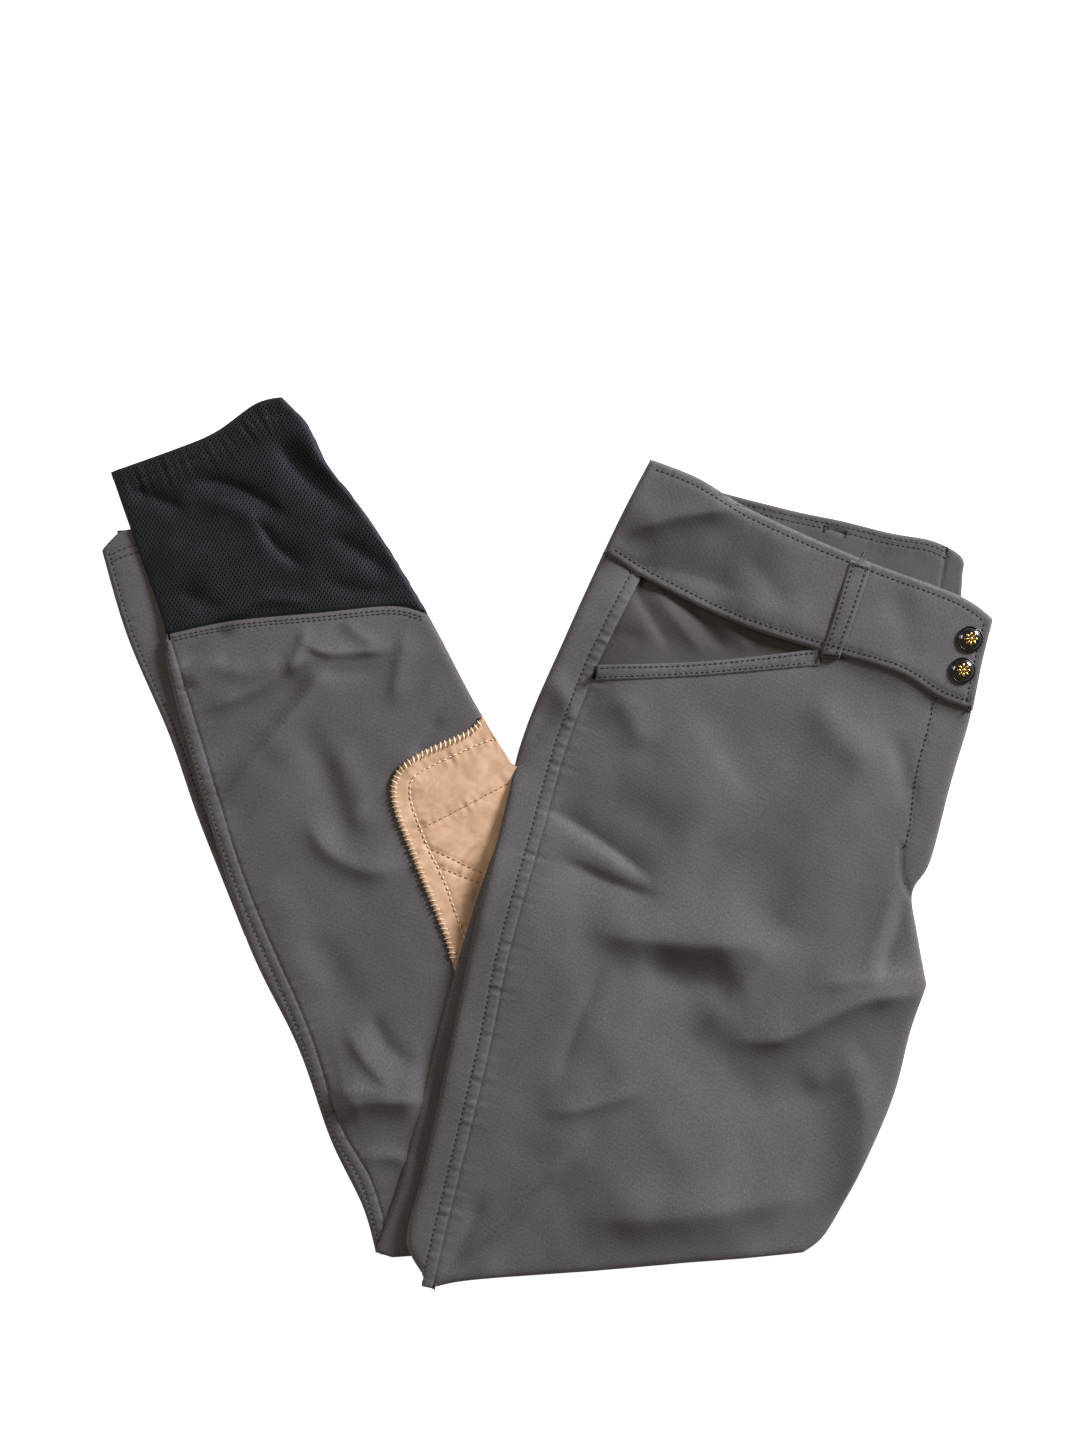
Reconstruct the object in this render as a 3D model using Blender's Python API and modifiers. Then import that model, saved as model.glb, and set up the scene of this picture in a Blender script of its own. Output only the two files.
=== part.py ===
"""Riding breeches lying flat: folded in half at centre front and back, lower legs folded under.

The origin is under the middle of the folded garment. +Y runs towards the waist, +Z is up.
"left" and "right" are the wearer's. The right thigh is on top, with its front up and its outseam
near the fold on the left. The lower legs are turned under at the knee and swung to the upper left,
the left one on top of the right one.

Every cloth piece is cut out of a thin sheet that already has the folded garment's height, so
neighbours share one surface, and what is sewn on top runs parallel to what it lies on.
All values are millimetres; the model is built in metres.
"""
import math

import bmesh
import bpy

MM = 0.001

# Cloth and sewing
CLOTH = 1.2          # wall of one layer of stretch cloth
BAND = 2.0           # wall of the waistband, two layers and interfacing
GAP = 0.3            # space left between pieces
FELL_WIDTH = 6.4     # outseam allowance, turned and stitched down
NET = 21.0           # size of a sheet's net
SNAP_TO_NET = 2.0    # a corner this close to a net line is used instead of a new one

# Stack heights, from the table to the top surface
HIP_TOP = 10.0       # four layers
LEGS_UNDER = 6.5     # more where the four layers of lower leg lie beneath
WAIST_RISE = 2.5     # more at the thicker waistband
LEG_TOP = 7.6        # the lower legs on their own
CUFF_THINNER = 1.8   # less at the thin mesh cuff
RIGHT_LEG_TOP = 3.4  # the right lower leg, where the left one does not cover it
BACK_BAND_TOP = 5.4  # the back waistband, which shows behind the front one

# Folded edges: how far in they are rounded, and how far they drop
THIGH_ROLL = 5.0
THIGH_DROP = 3.0
LEG_ROLL = 4.0
LEG_DROP = 2.0
THIN_ROLL = 3.0
THIN_DROP = 1.0
ROLL_RINGS = (0.3, 0.7)   # widths of the two rings of net along an edge, as shares of the roll

# Hidden layers: how many there are, and how deep the grooves between them are at the sides
THIGH_LAYERS = 4
LEG_LAYERS = 3
BAND_LAYERS = 2
GROOVE = 1.1

# Snap caps
SNAP_DIAMETER = 15.0
SNAP_HEIGHT = 4.2
SNAP_RIM_HEIGHT = 2.3
SNAP_RIM_INSET = 0.9
SNAP_SIDES = 24
SNAP_CENTRES = {"snap_upper": (242.9, 115.3), "snap_lower": (238.6, 97.4)}

# Cutters reach from below the table to above the garment
CUTTER_BOTTOM = -20.0
CUTTER_TOP = 60.0

# Corners that several edges share
WAIST_LEFT = (33.6, 166.0)       # waist seam at the left fold
WAIST_OUTSEAM = (55.8, 152.4)    # waist seam meets the outseam
POCKET_LEFT = (29.6, 100.6)      # pocket mouth meets the outseam
POCKET_RIGHT = (157.0, 109.8)    # pocket mouth meets the waist seam
WAIST_RIGHT = (245.1, 75.2)      # waist seam at the front edge
BAND_CORNER = (256.6, 127.1)
KNEE_LEFT = (-64.7, -255.9)
KNEE_RIGHT = (148.4, -237.2)
CROTCH = (219.2, -83.4)
MESH_OUTSEAM = (-216.8, 118.5)   # mesh seam meets the lower outseam
FAR = 420.0                      # well outside the garment

# Right thigh and front waistband, anticlockwise from the waistband's upper left corner
BAND_LEFT_END = [(60.3, 218.5), (46.0, 191.5), WAIST_LEFT]
SIDE_FOLD = [WAIST_LEFT, (11.2, 116.7), (-12.4, 61.2), (-25.9, 7.2), (-39.0, -42.0), (-56.6, -126.5),
             (-69.9, -187.5), (-79.4, -224.0), (-76.5, -238.6), KNEE_LEFT]
KNEE_FOLD = [KNEE_LEFT, (-40.5, -251.6), (31.3, -246.4), (84.8, -241.5), KNEE_RIGHT]
INSEAM_EDGE = [KNEE_RIGHT, (161.5, -226.5), (178.2, -195.5), (199.8, -148.9), (210.2, -110.2), CROTCH]
FRONT_EDGE = [CROTCH, (214.0, -53.0), (211.6, -30.0), (221.5, -12.5), (232.9, 30.8), (243.1, 64.9),
              WAIST_RIGHT]
BAND_RIGHT_END = [WAIST_RIGHT, (250.0, 101.0), BAND_CORNER]
BAND_TOP = [BAND_CORNER, (236.6, 140.6), (179.6, 162.2), (118.0, 189.2), (86.0, 208.0), (60.3, 218.5)]

# Left lower leg, anticlockwise from the cuff's outer corner; its right side is under the thigh
LEG_LEFT_EDGE = [(-251.0, 212.1), (-234.6, 164.5), (-219.7, 121.9), (-217.5, 97.0), (-199.1, 28.2),
                 (-173.1, -55.9), (-142.7, -120.1), (-124.1, -172.4), (-105.6, -211.1), (-98.0, -237.8)]
LEG_UNDER_THIGH = [(-98.0, -237.8), (-76.0, -235.0), (-52.0, -218.0), (-33.0, -110.0), (-10.0, -20.0),
                   (-7.0, 25.0)]
LEG_RIGHT_EDGE = [(-7.0, 25.0), (-18.4, 43.3), (-41.7, 80.5), (-69.3, 132.3), (-99.9, 182.3),
                  (-125.6, 216.2), (-137.0, 238.7), (-152.3, 255.6)]
LEG_HEM = [(-152.3, 255.6), (-167.6, 251.6), (-190.2, 235.5), (-212.0, 226.0), (-251.0, 212.1)]

# Right lower leg, anticlockwise from the hem's outer corner; its right side is under the left leg
RIGHT_LEG_EDGE = [(-256.7, 167.2), (-242.1, 117.9), (-217.8, 60.5), (-200.4, 10.7), (-174.0, -56.0)]
RIGHT_LEG_UNDER = [(-174.0, -56.0), (-160.0, -58.0), (-190.0, 30.0), (-208.0, 100.0), (-230.0, 186.0)]
RIGHT_LEG_HEM = [(-230.0, 186.0), (-244.0, 178.5), (-256.7, 167.2)]

# Back waistband, anticlockwise from its left end; its lower side is under the front waistband
BACK_BAND_UNDER = [(90.0, 198.0), (150.0, 165.0), (232.0, 132.0)]
BACK_BAND_END = [(232.0, 132.0), (238.6, 150.0), (240.5, 163.0)]
BACK_BAND_TOP_EDGE = [(240.5, 163.0), (224.3, 172.2), (171.9, 183.8), (130.0, 193.0), (90.0, 205.0)]
BACK_SEAM = [(224.5, 128.0), (230.5, 163.0), (233.5, 181.0)]

# Seams
WAIST_SEAM_LEFT = [(8.0, 180.0), WAIST_LEFT, WAIST_OUTSEAM]
WAIST_SEAM_POCKET = [WAIST_OUTSEAM, (87.1, 136.0), (118.0, 122.2), POCKET_RIGHT]
WAIST_SEAM_FRONT = [POCKET_RIGHT, (201.2, 96.8), (225.9, 82.1), WAIST_RIGHT, (270.0, 64.0)]
OUTSEAM_POCKET = [WAIST_OUTSEAM, (42.0, 126.0), POCKET_LEFT]
OUTSEAM_THIGH = [POCKET_LEFT, (12.0, 54.0), (-2.5, 2.0), (-20.8, -63.7), (-32.9, -122.6),
                 (-56.6, -220.3), (-68.0, -266.0)]
POCKET_MOUTH = [POCKET_LEFT, (91.7, 102.7), POCKET_RIGHT]
WELT_LOWER_EDGE = [(29.0, 91.9), (91.7, 95.0), (153.2, 100.6)]
MESH_SEAM = [(-240.0, 113.0), MESH_OUTSEAM, (-180.6, 126.0), (-128.9, 130.9), (-85.4, 135.0),
             (-66.8, 129.8), (-45.0, 122.0)]
LEG_OUTSEAM = [MESH_OUTSEAM, (-206.6, 84.2), (-187.9, 21.9), (-169.7, -32.4), (-137.7, -106.4),
               (-118.2, -163.9), (-98.5, -200.0), (-86.0, -232.0), (-80.0, -255.0)]

# What is sewn on, or shows as a strip
PATCH_TOP = [(-20.0, 72.5), (-45.1, 62.4), (-71.6, 50.2), (-86.0, 38.5), (-88.0, 22.0)]
PATCH_SIDE = [(-88.0, 22.0), (-77.9, -6.7), (-58.8, -53.5), (-46.0, -90.0)]
PATCH_UNDER = [(-46.0, -90.0), (-20.0, -60.0), (-8.0, 10.0), (-20.0, 72.5)]
LOOP_CORNERS = [(157.1, 104.7), (168.2, 104.0), (187.4, 159.0), (188.0, 164.0), (176.0, 168.0),
                (174.5, 161.0)]
LEFT_THIGH_EDGE = [(-24.0, 14.0), (-31.9, -7.8), (-51.5, -72.5), (-69.9, -142.5), (-84.4, -197.8),
                   (-98.6, -238.0)]
LEFT_THIGH_UNDER = [(-98.6, -238.0), (-60.0, -240.0), (-20.0, -60.0), (-24.0, 14.0)]

# Largest folds: start, end, half width, height (a trough is negative)
THIGH_FOLDS = [((4.0, 11.0), (54.0, -27.0), 11.0, 2.2),
               ((70.0, -62.0), (150.0, -112.0), 34.0, -2.2),
               ((180.0, -83.0), (218.0, -83.0), 11.0, 1.6),
               ((150.0, -99.0), (204.0, -101.0), 12.0, -1.4),
               ((-3.0, -194.0), (-38.0, -234.0), 10.0, 1.8),
               ((204.0, -33.0), (193.0, -74.0), 11.0, -1.2),
               ((120.0, 60.0), (178.0, 8.0), 30.0, 1.4)]
LEG_FOLDS = [((-121.0, 101.0), (-185.0, 24.0), 11.0, 2.8),
             ((-200.0, 70.0), (-140.0, 96.0), 9.0, -1.2),
             ((-135.0, 108.0), (-91.0, 107.0), 9.0, 1.8),
             ((-98.0, -150.0), (-75.0, -140.0), 12.0, 2.0),
             ((-138.0, 70.0), (-114.0, -16.0), 12.0, -1.2),
             ((-203.0, 206.0), (-150.0, 186.0), 12.0, 1.6)]
LEG_EDGE_UNDER_THIGH = ((150.0, -237.0), (-18.0, 43.0))

# Finishes: sRGB colour, roughness, metallic
FINISHES = {
    "stretch_cloth": ((0.38, 0.36, 0.36), 0.85, 0.0),
    "stretch_cloth_inside": ((0.30, 0.28, 0.29), 0.9, 0.0),
    "athletic_mesh": ((0.11, 0.13, 0.14), 0.7, 0.0),
    "suede": ((0.74, 0.59, 0.46), 0.95, 0.0),
    "lacquered_brass": ((0.06, 0.06, 0.06), 0.15, 0.6),
}


# ---- plane geometry -------------------------------------------------------------------------

def smooth_line(points, step=NET):
    """Points about one step apart on a smooth curve through the given points."""
    ends = [points[0]] + list(points) + [points[-1]]
    line = [points[0]]
    for before, start, end, after in zip(ends, ends[1:], ends[2:], ends[3:]):
        count = max(1, round(math.dist(start, end) / step))
        for index in range(1, count + 1):
            t = index / count
            line.append(tuple(
                0.5 * (2 * b + (c - a) * t + (2 * a - 5 * b + 4 * c - d) * t * t
                       + (3 * b - a - 3 * c + d) * t ** 3)
                for a, b, c, d in zip(before, start, end, after)))
    return line


def outline_of(*edges):
    """One closed outline from smooth edges that meet at corners."""
    outline = []
    for edge in edges:
        for point in smooth_line(edge):
            if not outline or math.dist(point, outline[-1]) > 0.01:
                outline.append(point)
    if math.dist(outline[0], outline[-1]) < 0.01:
        outline.pop()
    return outline


def grown(outline, distance):
    """The anticlockwise outline moved outwards by a distance, or inwards if it is negative."""
    moved = []
    for index, (x, y) in enumerate(outline):
        before = outline[index - 1]
        after = outline[(index + 1) % len(outline)]
        first = math.atan2(y - before[1], x - before[0])
        second = math.atan2(after[1] - y, after[0] - x)
        half_turn = math.remainder(second - first, math.tau) / 2
        reach = distance / max(math.cos(half_turn), 0.3)
        moved.append((x + reach * math.sin(first + half_turn), y - reach * math.cos(first + half_turn)))
    return moved


def beside(line, distance):
    """An open line moved to its right by a distance."""
    moved = []
    for index, (x, y) in enumerate(line):
        before = line[max(index - 1, 0)]
        after = line[min(index + 1, len(line) - 1)]
        length = math.dist(before, after)
        moved.append((x + distance * (after[1] - before[1]) / length,
                      y - distance * (after[0] - before[0]) / length))
    return moved


def segment_distance(x, y, start, end):
    """Distance from a point to a straight segment."""
    along_x = end[0] - start[0]
    along_y = end[1] - start[1]
    t = ((x - start[0]) * along_x + (y - start[1]) * along_y) / (along_x ** 2 + along_y ** 2)
    t = min(max(t, 0.0), 1.0)
    return math.hypot(x - start[0] - t * along_x, y - start[1] - t * along_y)


def outline_distance(x, y, outline):
    """Distance from a point to an outline."""
    return min(segment_distance(x, y, outline[index - 1], point) for index, point in enumerate(outline))


def side_of(x, y, start, end):
    """How far a point is to the left of the line from start to end."""
    length = math.dist(start, end)
    return ((end[0] - start[0]) * (y - start[1]) - (end[1] - start[1]) * (x - start[0])) / length


# ---- heights of the folded garment ----------------------------------------------------------

def ease(t):
    """A smooth step from 0 to 1."""
    t = min(max(t, 0.0), 1.0)
    return t * t * (3 - 2 * t)


def fold_height(x, y, folds):
    """Sum of soft ridges and troughs."""
    return sum(height * math.exp(-(segment_distance(x, y, start, end) / width) ** 2)
               for start, end, width, height in folds)


def thigh_top(x, y):
    """Top of the right thigh: higher over the lower legs and at the waistband."""
    over_legs = side_of(x, y, *LEG_EDGE_UNDER_THIGH)
    above_waist_seam = side_of(x, y, WAIST_LEFT, WAIST_RIGHT)
    return (HIP_TOP + LEGS_UNDER * ease((over_legs + 20) / 60)
            + WAIST_RISE * ease((above_waist_seam + 12) / 20) + fold_height(x, y, THIGH_FOLDS))


def leg_top(x, y):
    """Top of the left lower leg: lower at the thin mesh cuff."""
    past_mesh_seam = side_of(x, y, MESH_SEAM[1], MESH_SEAM[-2])
    return LEG_TOP - CUFF_THINNER * ease((past_mesh_seam + 10) / 40) + fold_height(x, y, LEG_FOLDS)


def right_leg_top(x, y):
    """Top of the right lower leg, where the left one does not cover it."""
    return RIGHT_LEG_TOP


def back_band_top(x, y):
    """Top of the back waistband, its inner face."""
    return BACK_BAND_TOP


def edge_drop(distance, roll, drop):
    """How far a rounded edge has dropped at a distance from its outline."""
    reach = 1 - min(distance / roll, 1.0)
    return drop * (1 - math.sqrt(1 - reach * reach))


# ---- sheets and solids ----------------------------------------------------------------------

def net_inside(outline, rings):
    """A flat net of triangles: rings along the outline, and squares cut in two inside them."""
    net = bmesh.new()
    inner = [net.faces.new([net.verts.new((x * MM, y * MM, 0.0)) for x, y in outline])]
    for width in rings:
        bmesh.ops.inset_region(net, faces=inner, thickness=width * MM, use_boundary=True,
                               use_even_offset=True)
    for axis in range(2):
        values = [point[axis] for point in outline]
        cut = math.ceil(min(values) / NET) * NET
        while cut < max(values):
            place = [0.0, 0.0, 0.0]
            normal = [0.0, 0.0, 0.0]
            place[axis] = cut * MM
            normal[axis] = 1.0
            geometry = set(inner)
            for face in inner:
                geometry.update(face.verts)
                geometry.update(face.edges)
            result = bmesh.ops.bisect_plane(net, geom=list(geometry), dist=SNAP_TO_NET * MM,
                                            plane_co=place, plane_no=normal)
            inner = [item for item in result["geom"] if isinstance(item, bmesh.types.BMFace)]
            cut += NET
    bmesh.ops.triangulate(net, faces=net.faces[:])
    return net


def draped(outline, top, roll, drop):
    """A sheet of triangles at the garment's top surface, with its outer edge rounded down."""
    net = net_inside(outline, [roll * share for share in ROLL_RINGS])
    for vertex in net.verts:
        x = vertex.co.x / MM
        y = vertex.co.y / MM
        vertex.co.z = (top(x, y) - edge_drop(outline_distance(x, y, outline), roll, drop)) * MM
    return net


def wall_of(sheet, raised, thickness):
    """A closed wall below the sheet moved up by a distance."""
    wall = sheet.copy()
    bmesh.ops.translate(wall, verts=wall.verts[:], vec=(0, 0, raised * MM))
    copied = bmesh.ops.extrude_face_region(wall, geom=wall.faces[:], use_keep_orig=True)
    lower = [item for item in copied["geom"] if isinstance(item, bmesh.types.BMVert)]
    bmesh.ops.translate(wall, verts=lower, vec=(0, 0, -thickness * MM))
    bmesh.ops.recalc_face_normals(wall, faces=wall.faces[:])
    return wall


def place_of(vertex):
    """Where a vertex stands, seen from above."""
    return round(vertex.co.x, 6), round(vertex.co.y, 6)


def layers_under(sheet, lowered, layers, groove=GROOVE):
    """The hidden layers as one solid from the table up, grooved along its sides between layers."""
    solid = sheet.copy()
    bmesh.ops.translate(solid, verts=solid.verts[:], vec=(0, 0, -lowered * MM))
    copied = bmesh.ops.extrude_face_region(solid, geom=solid.faces[:], use_keep_orig=True)["geom"]
    for vertex in (item for item in copied if isinstance(item, bmesh.types.BMVert)):
        vertex.co.z = 0.0
    bottom = [item for item in copied if isinstance(item, bmesh.types.BMFace)]
    bmesh.ops.dissolve_faces(solid, faces=bottom, use_verts=True)
    bmesh.ops.recalc_face_normals(solid, faces=solid.faces[:])

    upright = [edge for edge in solid.edges if place_of(edge.verts[0]) == place_of(edge.verts[1])]
    tops = {place_of(edge.verts[0]): max(vertex.co.z for vertex in edge.verts) for edge in upright}
    bmesh.ops.subdivide_edges(solid, edges=upright, cuts=2 * layers - 1)
    moves = []
    for vertex in solid.verts:
        top = tops.get(place_of(vertex), 0.0)
        if top - vertex.co.z < GAP * MM:
            continue
        half_layer = round(vertex.co.z / top * 2 * layers)
        if half_layer % 2 == 0:
            sides = [face.normal.xy for face in vertex.link_faces if abs(face.normal.z) < 0.5]
            moves.append((vertex, sum(sides[1:], sides[0]).normalized() * groove * MM))
    for vertex, inwards in moves:
        vertex.co.xy -= inwards
    return solid


def finish_material(name):
    """The named finish as a Principled material, made once."""
    if name in bpy.data.materials:
        return bpy.data.materials[name]
    colour, roughness, metallic = FINISHES[name]
    material = bpy.data.materials.new(name)
    material.use_nodes = True
    shader = material.node_tree.nodes["Principled BSDF"]
    shader.inputs["Base Color"].default_value = (*(channel ** 2.2 for channel in colour), 1.0)
    shader.inputs["Roughness"].default_value = roughness
    shader.inputs["Metallic"].default_value = metallic
    return material


def add_object(name, shape, collection):
    """A bmesh as a new object in a collection."""
    mesh = bpy.data.meshes.new(name)
    shape.to_mesh(mesh)
    shape.free()
    thing = bpy.data.objects.new(name, mesh)
    collection.objects.link(thing)
    return thing


def add_cutter(name, shape, collection):
    """A solid that only cuts others."""
    cutter = add_object(name, shape, collection)
    cutter.hide_render = True
    cutter.display_type = "WIRE"
    return cutter


def add_prism(name, outline, collection):
    """An upright cutter with the given outline, taller than the garment."""
    prism = bmesh.new()
    base = prism.faces.new([prism.verts.new((x * MM, y * MM, CUTTER_BOTTOM * MM)) for x, y in outline])
    raised = bmesh.ops.extrude_face_region(prism, geom=[base], use_keep_orig=True)
    upper = [item for item in raised["geom"] if isinstance(item, bmesh.types.BMVert)]
    bmesh.ops.translate(prism, verts=upper, vec=(0, 0, (CUTTER_TOP - CUTTER_BOTTOM) * MM))
    bmesh.ops.recalc_face_normals(prism, faces=prism.faces[:])
    return add_cutter(name, prism, collection)


def cut(thing, operation, cutter):
    """Keep what is inside a cutter (INTERSECT) or outside it (DIFFERENCE)."""
    modifier = thing.modifiers.new(cutter.name, "BOOLEAN")
    modifier.operation = operation
    modifier.object = cutter
    modifier.solver = "EXACT"


def add_piece(name, shape, collection, finish="stretch_cloth", keep=None, remove=()):
    """A named piece of the garment, cut out of its wall."""
    piece = add_object(name, shape, collection)
    piece.data.materials.append(finish_material(finish))
    if keep:
        cut(piece, "INTERSECT", keep)
    for cutter in remove:
        cut(piece, "DIFFERENCE", cutter)
    return piece


# ---- regions between seams ------------------------------------------------------------------

def seam_regions():
    """Outline of each sewn piece between its seams; the outer sides run past the garment."""
    outseam = smooth_line(OUTSEAM_THIGH)
    outseam_up = outseam[::-1] + smooth_line(OUTSEAM_POCKET[::-1])[1:-1]
    leg_seam = smooth_line(LEG_OUTSEAM)
    mesh_seam = smooth_line(MESH_SEAM)
    outer, inner = mesh_seam[:2], mesh_seam[2:]
    front_waist = smooth_line(WAIST_SEAM_FRONT)
    mouth = smooth_line(POCKET_MOUTH)
    back_seam = smooth_line(BACK_SEAM)
    regions = {
        "band": outline_of(WAIST_SEAM_LEFT, WAIST_SEAM_POCKET, WAIST_SEAM_FRONT)
        + [(FAR, 64.0), (FAR, FAR), (8.0, FAR)],
        "right_back": outline_of(WAIST_SEAM_LEFT[::-1]) + [(-FAR, 180.0), (-FAR, -FAR), (-68.0, -FAR)]
        + outseam_up,
        "right_front": outseam + [(-68.0, -FAR), (FAR, -FAR), (FAR, 64.0)] + front_waist[::-1]
        + mouth[-2:0:-1],
        "facing": outline_of(POCKET_MOUTH, WAIST_SEAM_POCKET[::-1], OUTSEAM_POCKET),
        "cuff": mesh_seam + [(FAR, 122.0), (FAR, FAR), (-FAR, FAR), (-FAR, 113.0)],
        "leg_front": leg_seam[1:] + [(FAR, -255.0), (FAR, 122.0)] + inner[::-1] + [outer[1]],
        "leg_back": leg_seam[:0:-1] + outer[::-1] + [(-FAR, 113.0), (-FAR, -FAR), (-80.0, -FAR)],
        "band_right": back_seam + [(0.0, 198.0), (0.0, 128.0)],
        "band_left": back_seam[::-1] + [(FAR, 128.0), (FAR, 181.0)],
    }
    return {name: grown(outline, -GAP / 2) for name, outline in regions.items()}


def strip_between(left, right):
    """Outline between two open lines that run the same way, given its left side first going down."""
    return left + right[::-1]


# ---- the garment ----------------------------------------------------------------------------

def build_thigh(pieces, cutters, outline, regions):
    """Right thigh, front waistband and everything sewn on them, over their hidden layers."""
    sheet = draped(outline, thigh_top, THIGH_ROLL, THIGH_DROP)
    for name in ("right_back", "right_front"):
        area = add_prism("area_" + name, regions[name], cutters)
        add_piece(name, wall_of(sheet, 0.0, CLOTH), pieces, keep=area)

    band_area = add_prism("area_band", regions["band"], cutters)
    band_raise = BAND - CLOTH
    add_piece("waistband_front", wall_of(sheet, band_raise, BAND), pieces, keep=band_area)

    facing_area = add_prism("area_facing", regions["facing"], cutters)
    facing_drop = CLOTH + GAP
    add_piece("pocket_facing", wall_of(sheet, -facing_drop, CLOTH), pieces, keep=facing_area)
    recess_area = add_prism("area_recess", grown(regions["facing"], GAP), cutters)
    recess = add_cutter("pocket_recess", wall_of(sheet, CLOTH, 2 * facing_drop + CLOTH), cutters)
    cut(recess, "INTERSECT", recess_area)

    hidden = layers_under(sheet, CLOTH + GAP, THIGH_LAYERS)
    add_piece("hidden_thigh_layers", hidden, pieces, "stretch_cloth_inside", remove=[recess])

    on_top = CLOTH + GAP
    welt = strip_between(smooth_line(WELT_LOWER_EDGE), beside(smooth_line(POCKET_MOUTH), GAP))
    welt_area = add_prism("area_welt", welt, cutters)
    add_piece("pocket_welt", wall_of(sheet, on_top, CLOTH), pieces, keep=welt_area)

    seam = smooth_line(OUTSEAM_POCKET)[:-1] + smooth_line(OUTSEAM_THIGH)
    fell = strip_between(beside(seam, FELL_WIDTH), beside(seam, GAP))
    fell_area = add_prism("area_fell", fell, cutters)
    add_piece("outseam_fell_thigh", wall_of(sheet, on_top, CLOTH), pieces, keep=fell_area, remove=[band_area])

    loop_area = add_prism("area_loop", LOOP_CORNERS, cutters)
    add_piece("belt_loop", wall_of(sheet, band_raise + on_top, CLOTH), pieces, keep=loop_area)
    sheet.free()


def build_left_lower_leg(pieces, cutters, outline, thigh_clear, regions):
    """Left lower leg with its patch and cuff over its hidden layers, and the left thigh's edge on it."""
    sheet = draped(outline, leg_top, LEG_ROLL, LEG_DROP)
    parts = (("left_front_lower", "leg_front", "stretch_cloth"),
             ("left_back_lower", "leg_back", "stretch_cloth"),
             ("left_cuff_mesh", "cuff", "athletic_mesh"))
    for name, region, finish in parts:
        area = add_prism("area_" + region, regions[region], cutters)
        add_piece(name, wall_of(sheet, 0.0, CLOTH), pieces, finish, keep=area, remove=[thigh_clear])

    hidden = layers_under(sheet, CLOTH + GAP, LEG_LAYERS)
    add_piece("hidden_leg_layers", hidden, pieces, "stretch_cloth_inside", remove=[thigh_clear])

    thigh_strip = outline_of(LEFT_THIGH_EDGE, LEFT_THIGH_UNDER)
    strip_area = add_prism("area_left_thigh", thigh_strip, cutters)
    strip_clear = add_prism("clear_of_left_thigh", grown(thigh_strip, GAP), cutters)
    folded = 2 * CLOTH
    add_piece("left_thigh_fold", wall_of(sheet, GAP + folded, folded), pieces,
              keep=strip_area, remove=[thigh_clear])

    on_top = CLOTH + GAP
    patch_area = add_prism("area_patch", outline_of(PATCH_TOP, PATCH_SIDE, PATCH_UNDER), cutters)
    add_piece("knee_patch", wall_of(sheet, on_top, CLOTH), pieces, "suede",
              keep=patch_area, remove=[thigh_clear, strip_clear])

    seam = smooth_line(LEG_OUTSEAM)
    fell = strip_between(beside(seam, FELL_WIDTH), beside(seam, GAP))
    fell_area = add_prism("area_leg_fell", fell, cutters)
    cuff_area = cutters.objects["area_cuff"]
    add_piece("outseam_fell_leg", wall_of(sheet, on_top, CLOTH), pieces,
              keep=fell_area, remove=[cuff_area, strip_clear])
    sheet.free()


def build_right_lower_leg(pieces, cutters, left_outline):
    """Edge of the right lower leg, which shows at the far left: its back over its front."""
    leg_clear = add_prism("clear_of_left_leg", grown(left_outline, GAP), cutters)
    outline = outline_of(RIGHT_LEG_EDGE, RIGHT_LEG_UNDER, RIGHT_LEG_HEM)
    sheet = draped(outline, right_leg_top, THIN_ROLL, THIN_DROP)
    add_piece("right_back_lower", wall_of(sheet, 0.0, CLOTH), pieces, remove=[leg_clear])
    front = layers_under(sheet, CLOTH + GAP, layers=1, groove=GROOVE / 2)
    add_piece("right_front_lower", front, pieces, remove=[leg_clear])
    sheet.free()


def build_back_waistband(pieces, cutters, thigh_clear, regions):
    """Inner face of the back waistband, joined at centre back, over the left half's outer face."""
    outline = outline_of(BACK_BAND_UNDER, BACK_BAND_END, BACK_BAND_TOP_EDGE)
    sheet = draped(outline, back_band_top, THIN_ROLL, THIN_DROP)
    for side in ("right", "left"):
        area = add_prism("area_band_" + side, regions["band_" + side], cutters)
        add_piece("waistband_back_" + side, wall_of(sheet, 0.0, BAND), pieces, "stretch_cloth_inside",
                  keep=area, remove=[thigh_clear])
    hidden = layers_under(sheet, BAND + GAP, BAND_LAYERS, groove=GROOVE / 2)
    add_piece("hidden_band_layers", hidden, pieces, "stretch_cloth_inside", remove=[thigh_clear])
    sheet.free()


def snap_profile():
    """Half section of a snap cap, from its middle on top, round its rim, to its middle below."""
    radius = SNAP_DIAMETER / 2
    dome_radius = radius - SNAP_RIM_INSET
    dome_height = SNAP_HEIGHT - SNAP_RIM_HEIGHT
    dome = [(dome_radius * math.cos(math.radians(degrees)),
             SNAP_RIM_HEIGHT + dome_height * math.sin(math.radians(degrees))) for degrees in (70, 48, 24, 0)]
    rim = [(radius - 0.2, 1.9), (radius, 1.2), (radius - 0.6, 0.3), (radius - 1.6, 0.0)]
    return [(0.0, SNAP_HEIGHT)] + dome + rim + [(0.0, 0.0)]


def build_snaps(pieces):
    """Two domed snap caps, turned from one profile, set on the waistband."""
    radius = SNAP_DIAMETER / 2
    for name, (x, y) in SNAP_CENTRES.items():
        shape = bmesh.new()
        corners = [shape.verts.new((across * MM, 0.0, up * MM)) for across, up in snap_profile()]
        for first, second in zip(corners, corners[1:]):
            shape.edges.new((first, second))
        snap = add_piece(name, shape, pieces, "lacquered_brass")
        turn = snap.modifiers.new("turn", "SCREW")
        turn.steps = SNAP_SIDES
        turn.render_steps = SNAP_SIDES
        turn.use_merge_vertices = True
        turn.merge_threshold = 0.00001
        rim = [(x + radius * math.cos(angle), y + radius * math.sin(angle)) for angle in range(7)]
        seat = max(thigh_top(*place) for place in rim + [(x, y)]) + BAND - CLOTH + GAP
        snap.location = (x * MM, y * MM, seat * MM)


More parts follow.
